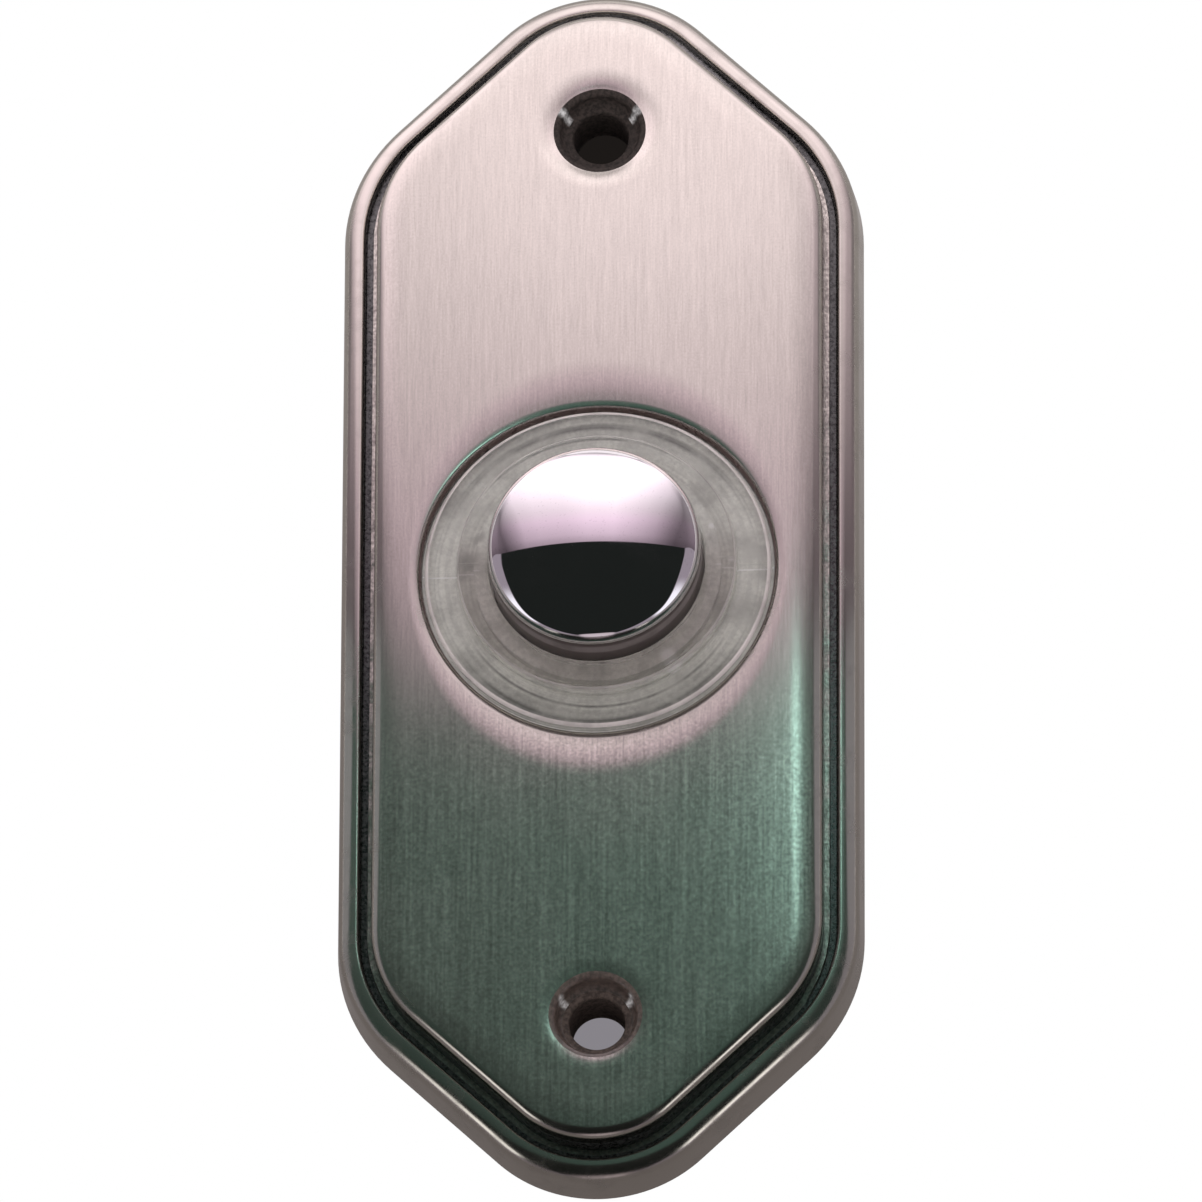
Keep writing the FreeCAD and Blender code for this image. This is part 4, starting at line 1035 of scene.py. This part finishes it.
def coil(wire_radius, turns, steel):
    """The return spring, wound in the space of its node."""
    low_corner, high_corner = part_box("return_spring")
    radius = high_corner.x - wire_radius
    low, high = -high_corner.y + wire_radius, -low_corner.y - wire_radius
    surface = Surface("coil_spring")
    rings = []
    steps = turns * COIL_STEPS
    pitch = (high - low) / turns
    for i in range(steps + 1):
        turn = 2 * math.pi * i / COIL_STEPS
        out = Vector((math.cos(turn), 0, math.sin(turn)))
        along = Vector((-math.sin(turn) * radius, -pitch / (2 * math.pi), math.cos(turn) * radius)).normalized()
        side = along.cross(out)
        centre = out * radius + Vector((0, -(low + (high - low) * i / steps), 0))
        rings.append([centre + (out * math.cos(a) + side * math.sin(a)) * wire_radius
                      for a in (2 * math.pi * k / WIRE_SIDES for k in range(WIRE_SIDES))])
    loops = surface.bands(rings, steel)
    for loop, ring in ((loops[0], rings[0]), (loops[-1], rings[-1])):
        surface.cap(loop, sum(ring, Vector()) / len(ring), steel)
    spring = surface.make(50)
    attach(spring, "plate")
    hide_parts("return_spring")
    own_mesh(spring)


class DOORBELL_OT_switch(bpy.types.Operator):
    """Dresses the moulded base, its contacts, spring, lamps and terminals"""
    bl_idname = "doorbell.switch"
    bl_label = "Switch"

    def execute(self, context):
        dress("switch_base", moulding("grey_moulding", (0.5, 0.5, 0.48), (0.62, 0.62, 0.6), 0.42))
        brass = plain_metal("contact_brass", (0.42, 0.25, 0.09), (0.8, 0.58, 0.28), 0.25)
        steel = plain_metal("spring_steel", (0.3, 0.29, 0.28), (0.56, 0.55, 0.53), 0.28)
        plated = plain_metal("plated_screw", (0.42, 0.41, 0.38), (0.68, 0.67, 0.64), 0.24)
        wire = plain_metal("tinned_wire", (0.45, 0.45, 0.44), (0.72, 0.72, 0.7), 0.3)
        for node in ("contact_disc", "contact_rivet_left", "contact_rivet_right", "contact_strip_left",
                     "contact_strip_right"):
            dress(node, brass)
        dress("contact_retainer", steel)
        coil(0.25 * MM, 5, steel)
        for node in ("base_screw_upper", "base_screw_lower", "terminal_screw_left", "terminal_screw_right",
                     "terminal_washer_left", "terminal_washer_right", "terminal_nut_left", "terminal_nut_right"):
            dress(node, plated)
        for node in ("lamp_lead_left", "lamp_lead_right"):
            dress(node, wire)
        lens = moulding("lamp_lens", (0.42, 0.4, 0.36), (0.5, 0.48, 0.44), 0.12)
        for node in ("lamp_left", "lamp_right"):
            dress(node, lens)
        dress("lamp_resistor", moulding("resistor_body", (0.33, 0.24, 0.15), (0.5, 0.38, 0.25), 0.4))
        return {"FINISHED"}


def card(name, corners, material, faces=None):
    """A stage card or shell."""
    data = bpy.data.meshes.new(name)
    data.from_pydata(corners, [], faces or [tuple(range(len(corners)))])
    data.materials.append(material)
    made = bpy.data.objects.new(name, data)
    bpy.context.scene.collection.objects.link(made)
    return made


def shell(name, radius, low, high, material):
    """Half of an upright cylinder in front of the plate, which only reflections see."""
    turns = [math.radians(-90 + 180 * i / 60) for i in range(61)]
    foot = [(radius * math.sin(t), -radius * math.cos(t), low) for t in turns]
    head = [(x, y, high) for x, y, _ in foot]
    faces = [(i, i + 1, i + 62, i + 61) for i in range(60)]
    return for_reflections(card(name, foot + head, material, faces))


def for_reflections(made):
    for rays in ("visible_camera", "visible_shadow", "visible_diffuse", "visible_transmission"):
        setattr(made, rays, False)
    return made


def only_for(piece, light):
    """Lets a light fall on one piece alone."""
    lit = bpy.data.collections.new(light.name + "_receiver")
    lit.objects.link(bpy.data.objects[piece])
    light.light_linking.receiver_collection = lit


def glow(name, build, strength=1.0, clear=False, for_camera=False):
    """A stage material that only shines, with its colour worked out by build(nodes)."""
    material = bpy.data.materials.new(name)
    material.use_nodes = True
    material.node_tree.nodes.clear()
    nodes = NodeTree(material.node_tree)
    shine = nodes.add("ShaderNodeEmission")
    nodes.put(shine.inputs["Color"], build(nodes))
    shine.inputs["Strength"].default_value = strength
    result = shine.outputs[0]
    if for_camera:
        nodes.put(shine.inputs["Strength"], nodes.add("ShaderNodeLightPath").outputs["Is Camera Ray"])
    if clear or for_camera:
        through = nodes.add("ShaderNodeBsdfTransparent").outputs[0]
        both = nodes.add("ShaderNodeAddShader" if clear else "ShaderNodeMixShader")
        if for_camera:
            nodes.put(both.inputs[0], nodes.add("ShaderNodeNewGeometry").outputs["Backfacing"])
        nodes.put(both.inputs[-2], result)
        nodes.put(both.inputs[-1], through)
        result = both.outputs[0]
    nodes.put(nodes.add("ShaderNodeOutputMaterial").inputs["Surface"], result)
    return material


def ramp(nodes, value, low, high, stops):
    """Colours along a value: stops are (value, colour)."""
    made = nodes.add("ShaderNodeValToRGB")
    nodes.put(made.inputs[0], nodes.spread(value, low, high, 0, 1, smooth=False))
    while len(made.color_ramp.elements) < len(stops):
        made.color_ramp.elements.new(0.5)
    for element, (place, shade) in zip(made.color_ramp.elements, stops):
        element.position = (place - low) / (high - low)
        element.color = (*shade, 1)
    return made.outputs[0]


class DOORBELL_OT_stage(bpy.types.Operator):
    """Sets the soft studio light, the tent, the pale floor and the camera"""
    bl_idname = "doorbell.stage"
    bl_label = "Studio"

    def execute(self, context):
        stage = context.scene.doorbell_stage
        self.light_the_room(context.scene)
        self.set_tent(stage)
        self.set_table()
        self.lay_floor()
        self.place_camera(context.scene, stage)
        context.scene.view_settings.view_transform = "Standard"
        return {"FINISHED"}

    def light_the_room(self, scene):
        """A room that brightens upwards, with a plain white surround for the camera."""
        world = bpy.data.worlds.new("studio")
        world.use_nodes = True
        world.node_tree.nodes.clear()
        nodes = NodeTree(world.node_tree)
        parts = nodes.split(nodes.add("ShaderNodeTexCoord").outputs["Generated"])
        room = nodes.add("ShaderNodeBackground")
        nodes.put(room.inputs["Color"], ramp(nodes, parts["Z"], -1, 1, [
            (-1.0, (0.3, 0.26, 0.28)), (-0.975, (0.26, 0.22, 0.24)), (-0.962, (0.04, 0.035, 0.035)),
            (-0.6, (0.12, 0.105, 0.105)), (-0.3, (0.1, 0.09, 0.09)), (0.1, (0.44, 0.4, 0.4)),
            (0.4, (0.74, 0.68, 0.69)), (0.8, (1, 0.95, 0.97)),
            (0.95, (0.6, 0.56, 0.57)), (1.0, (0.5, 0.47, 0.48))]))
        room.inputs["Strength"].default_value = 2.0
        surround = nodes.add("ShaderNodeBackground")
        surround.inputs["Color"].default_value = (1, 1, 1, 1)
        pick = nodes.add("ShaderNodeMixShader")
        nodes.put(pick.inputs[0], nodes.add("ShaderNodeLightPath").outputs["Is Camera Ray"])
        nodes.put(pick.inputs[1], room.outputs[0])
        nodes.put(pick.inputs[2], surround.outputs[0])
        nodes.put(nodes.add("ShaderNodeOutputWorld").inputs[0], pick.outputs[0])
        scene.world = world

    def set_tent(self, stage):
        """A small tent: dark band below, soft light above it, and a green glow that only the metal picks up."""
        light = tuple(stage.light)
        dark = (0.006, 0.007, 0.0065)
        top, foot = stage.dark_top, stage.dark_foot

        def past(nodes, height, azimuth):
            """How far a point lies beyond the dark band's left or right end, which spreads downwards."""
            wider = nodes.spread(height, -0.05, 0.01, 0.5, 0.0)
            to_left = nodes.maths("SUBTRACT", nodes.maths("MULTIPLY", azimuth, -1.0),
                                  nodes.maths("ADD", wider, stage.dark_left))
            to_right = nodes.maths("SUBTRACT", azimuth, nodes.maths("ADD", wider, stage.dark_right))
            return nodes.maths("MAXIMUM", to_left, to_right)

        def tent(nodes):
            parts = nodes.split(nodes.place())
            height = parts["Z"]
            azimuth = nodes.azimuth(parts)
            above = ramp(nodes, height, 0.0, 0.11, [
                (0.0, scaled(light, 0.24)), (top, scaled(light, 0.24)), (0.0165, scaled(light, 0.28)),
                (0.0195, scaled(light, 0.36)), (0.03, scaled(light, 0.5)), (0.038, (0.54, 0.47, 0.5)),
                (0.048, (0.645, 0.58, 0.605)), (0.056, (0.74, 0.665, 0.7)), (0.078, (0.9, 0.81, 0.84)),
                (0.11, (1, 0.92, 0.95))])
            apart = nodes.split(nodes.direction((0, -0.012, 0)))
            fade = ramp(nodes, apart["X"], -1, 1, [
                (place, (tone, tone * 0.97, tone)) for place, tone in (
                    (-1.0, 0.28), (-0.85, 0.24), (-0.78, 0.16), (-0.735, 0.33), (-0.69, 0.5), (-0.64, 0.7),
                    (-0.53, 0.8), (-0.3, 0.85), (-0.1, 0.98), (0.15, 1.0), (0.29, 0.85), (0.41, 0.7), (0.51, 0.54),
                    (0.575, 0.38), (0.63, 0.25), (0.68, 0.16), (0.78, 0.2), (1.0, 0.28))])
            ceiling = nodes.spread(height, 0.11, 0.24, 1.0, 0.25)
            lit = tinted(nodes, nodes.blend(1.0, above, fade, "MULTIPLY"), ceiling)
            low = ramp(nodes, height, -0.26, 0.0, [
                (-0.26, (0.26, 0.22, 0.24)), (foot - 0.03, (0.26, 0.22, 0.24)), (foot, dark), (0.0, dark)])
            side = nodes.blend(nodes.spread(past(nodes, height, azimuth), 0.0, 0.03), low, (0.15, 0.13, 0.15))
            over = nodes.spread(height, top - 0.0002, top + 0.0002)
            return nodes.blend(over, side, lit)

        shell("light_tent", stage.tent_radius, -0.26, 0.26, glow("light_tent", tent, 2.0))

        def windows(nodes):
            parts = nodes.split(nodes.place())
            height = parts["Z"]
            azimuth = nodes.azimuth(parts)
            level = nodes.between(height, -0.065, -0.045, -0.024, -0.006)
            shown = nodes.maths("MULTIPLY", level, nodes.spread(past(nodes, height, azimuth), 0.02, 0.08))
            return nodes.blend(shown, (0, 0, 0), tuple(stage.window))

        def far_strips(nodes):
            parts = nodes.split(nodes.place())
            height = parts["Z"]
            azimuth = nodes.maths("ABSOLUTE", nodes.azimuth(parts))
            narrow = nodes.between(azimuth, 1.1, 1.2, 1.36, 1.46)
            lower = nodes.between(height, -0.1, -0.09, -0.07, -0.06)
            strips = nodes.blend(nodes.maths("MULTIPLY", narrow, lower), (0, 0, 0), tuple(stage.far_strip))
            beside = nodes.between(azimuth, 0.45, 0.75, 1.2, 1.4)
            raised = nodes.maths("MULTIPLY", beside, nodes.spread(height, 0.02, 0.05))
            return nodes.blend(raised, strips, scaled(light, 0.16))

        only_for("mirror_cap", shell("button_windows", stage.tent_radius - 0.001, -0.07, 0.0,
                                     glow("button_windows", windows, 2.0, clear=True)))
        only_for("wall_plate", shell("far_strips", stage.tent_radius - 0.0015, -0.11, 0.13,
                                     glow("far_strips", far_strips, 3.0, clear=True)))

        glowing, strip = tuple(stage.glow), tuple(stage.strip)

        def green(nodes):
            parts = nodes.split(nodes.place())
            right = parts["X"]
            across = nodes.spread(right, -0.03, 0.012, 0.36, 0.72, smooth=False)
            beyond = nodes.spread(right, 0.027, 0.04, 1.0, 0.3)
            inside = nodes.between(right, 0.0165, 0.0185, 0.0215, 0.0255)
            fading = nodes.spread(parts["Z"], -0.034, 0.004, 0.5, 1.0)
            spread = nodes.maths("MULTIPLY", nodes.maths("MULTIPLY", across, beyond), fading)
            strong = nodes.maths("MULTIPLY", inside, nodes.spread(parts["Z"], -0.02, 0.006))
            return nodes.blend(strong, tinted(nodes, glowing, spread), scaled(strip, stage.strip_gain))

        only_for("wall_plate", shell("green_glow", stage.tent_radius - 0.0005, -0.06, top,
                                     glow("green_glow", green, 1.0, clear=True)))

    def set_table(self):
        """The pale table behind the plate, for reflections, and what shows of it through the two screw holes, where the
        upper card is a painted shadow and the lower one painted lit grey.
        """
        def lit(nodes):
            parts = nodes.split(nodes.place())
            return ramp(nodes, parts["Z"], -0.06, 0.06, [
                (-0.06, (0.14, 0.125, 0.125)), (-0.03, (0.16, 0.145, 0.145)), (0.0, (0.19, 0.17, 0.17)),
                (0.03, (0.27, 0.25, 0.25)), (0.05, (0.3, 0.28, 0.28))])

        y = 0.001
        for_reflections(card("table", [(-0.062, y, -0.12), (0.062, y, -0.12), (0.062, y, 0.12), (-0.062, y, 0.12)],
                             glow("table", lit, 1.6)))
        y = 0.0004
        # Behind the upper hole a near-black card is a painted shadow; behind the lower hole a glowing grey card is the
        # table's painted light.
        for name, side, shade in (("upper", 1, (0.012, 0.01, 0.009)), ("lower", -1, (0.24, 0.228, 0.25))):
            z, half = HOLE_PLACE * side, HOLE_CARD_HALF
            made = card(f"table_at_{name}_hole",
                        [(-half, y, z - half), (half, y, z - half), (half, y, z + half), (-half, y, z + half)],
                        glow(f"table_at_{name}_hole", lambda nodes: shade, for_camera=True))
            made.visible_shadow = False

    def lay_floor(self):
        material, nodes, sockets = new_material("pale_floor")
        skin = nodes.group(as_cast(), Place=nodes.place(), Grain=0.02)
        nodes.put(sockets["Base Color"], nodes.blend(skin.outputs["Mask"], (0.8, 0.8, 0.79), (0.84, 0.84, 0.83)))
        sockets["Roughness"].default_value = 0.8
        floor = card("pale_floor", [(-6, -6, -1.2), (6, -6, -1.2), (6, 6, -1.2), (-6, 6, -1.2)], material)
        floor.visible_glossy = False

    def place_camera(self, scene, stage):
        """The photograph's angle. The plate's middle lies a little above the picture's middle."""
        data = bpy.data.cameras.new("camera")
        camera = bpy.data.objects.new("camera", data)
        scene.collection.objects.link(camera)
        towards = Vector((math.sin(stage.aside) * math.cos(stage.below), -math.cos(stage.aside) * math.cos(stage.below),
                          -math.sin(stage.below)))
        right = Vector((0, 0, 1)).cross(towards).normalized()
        up = towards.cross(right)
        data.sensor_width = 36
        pixels_per_metre = 11830
        frame_pixels = 1202
        data.lens = data.sensor_width * pixels_per_metre * stage.distance / frame_pixels
        aim = Vector((0, PLATE_LOW.y, 0)) + right * (3.9 / pixels_per_metre) - up * (34.8 / pixels_per_metre)
        turn = Matrix.Rotation(stage.roll, 4, "Z")
        axes = Matrix((right, up, towards)).transposed().to_4x4()
        camera.matrix_world = Matrix.Translation(aim + towards * stage.distance) @ axes @ turn
        data.clip_end = 20
        scene.camera = camera


class DOORBELL_PT_panel(bpy.types.Panel):
    """Lists the button's pieces and their settings"""
    bl_label = "Doorbell push button"
    bl_idname = "DOORBELL_PT_panel"
    bl_space_type = "VIEW_3D"
    bl_region_type = "UI"
    bl_category = "Doorbell"

    def draw(self, context):
        for operator, settings in PIECES:
            box = self.layout.box()
            box.operator(operator.bl_idname)
            if settings:
                group = getattr(context.scene, settings)
                for name in group.__annotations__:
                    box.prop(group, name)


PIECES = (
    (DOORBELL_OT_faceplate, "doorbell_plate"),
    (DOORBELL_OT_ring, "doorbell_ring"),
    (DOORBELL_OT_button, "doorbell_button"),
    (DOORBELL_OT_switch, None),
    (DOORBELL_OT_stage, "doorbell_stage"),
)
SETTINGS = {
    "doorbell_plate": PlateSettings,
    "doorbell_ring": RingSettings,
    "doorbell_button": ButtonSettings,
    "doorbell_stage": StageSettings,
}


def register():
    for name, group in SETTINGS.items():
        bpy.utils.register_class(group)
        setattr(bpy.types.Scene, name, bpy.props.PointerProperty(type=group))
    for operator, _ in PIECES:
        bpy.utils.register_class(operator)
    bpy.utils.register_class(DOORBELL_PT_panel)


def unregister():
    bpy.utils.unregister_class(DOORBELL_PT_panel)
    for operator, _ in reversed(PIECES):
        bpy.utils.unregister_class(operator)
    for name, group in SETTINGS.items():
        delattr(bpy.types.Scene, name)
        bpy.utils.unregister_class(group)


def main():
    register()
    bpy.ops.doorbell.faceplate()
    bpy.ops.doorbell.ring()
    bpy.ops.doorbell.button()
    bpy.ops.doorbell.switch()
    bpy.ops.doorbell.stage()


if __name__ == "__main__":
    main()
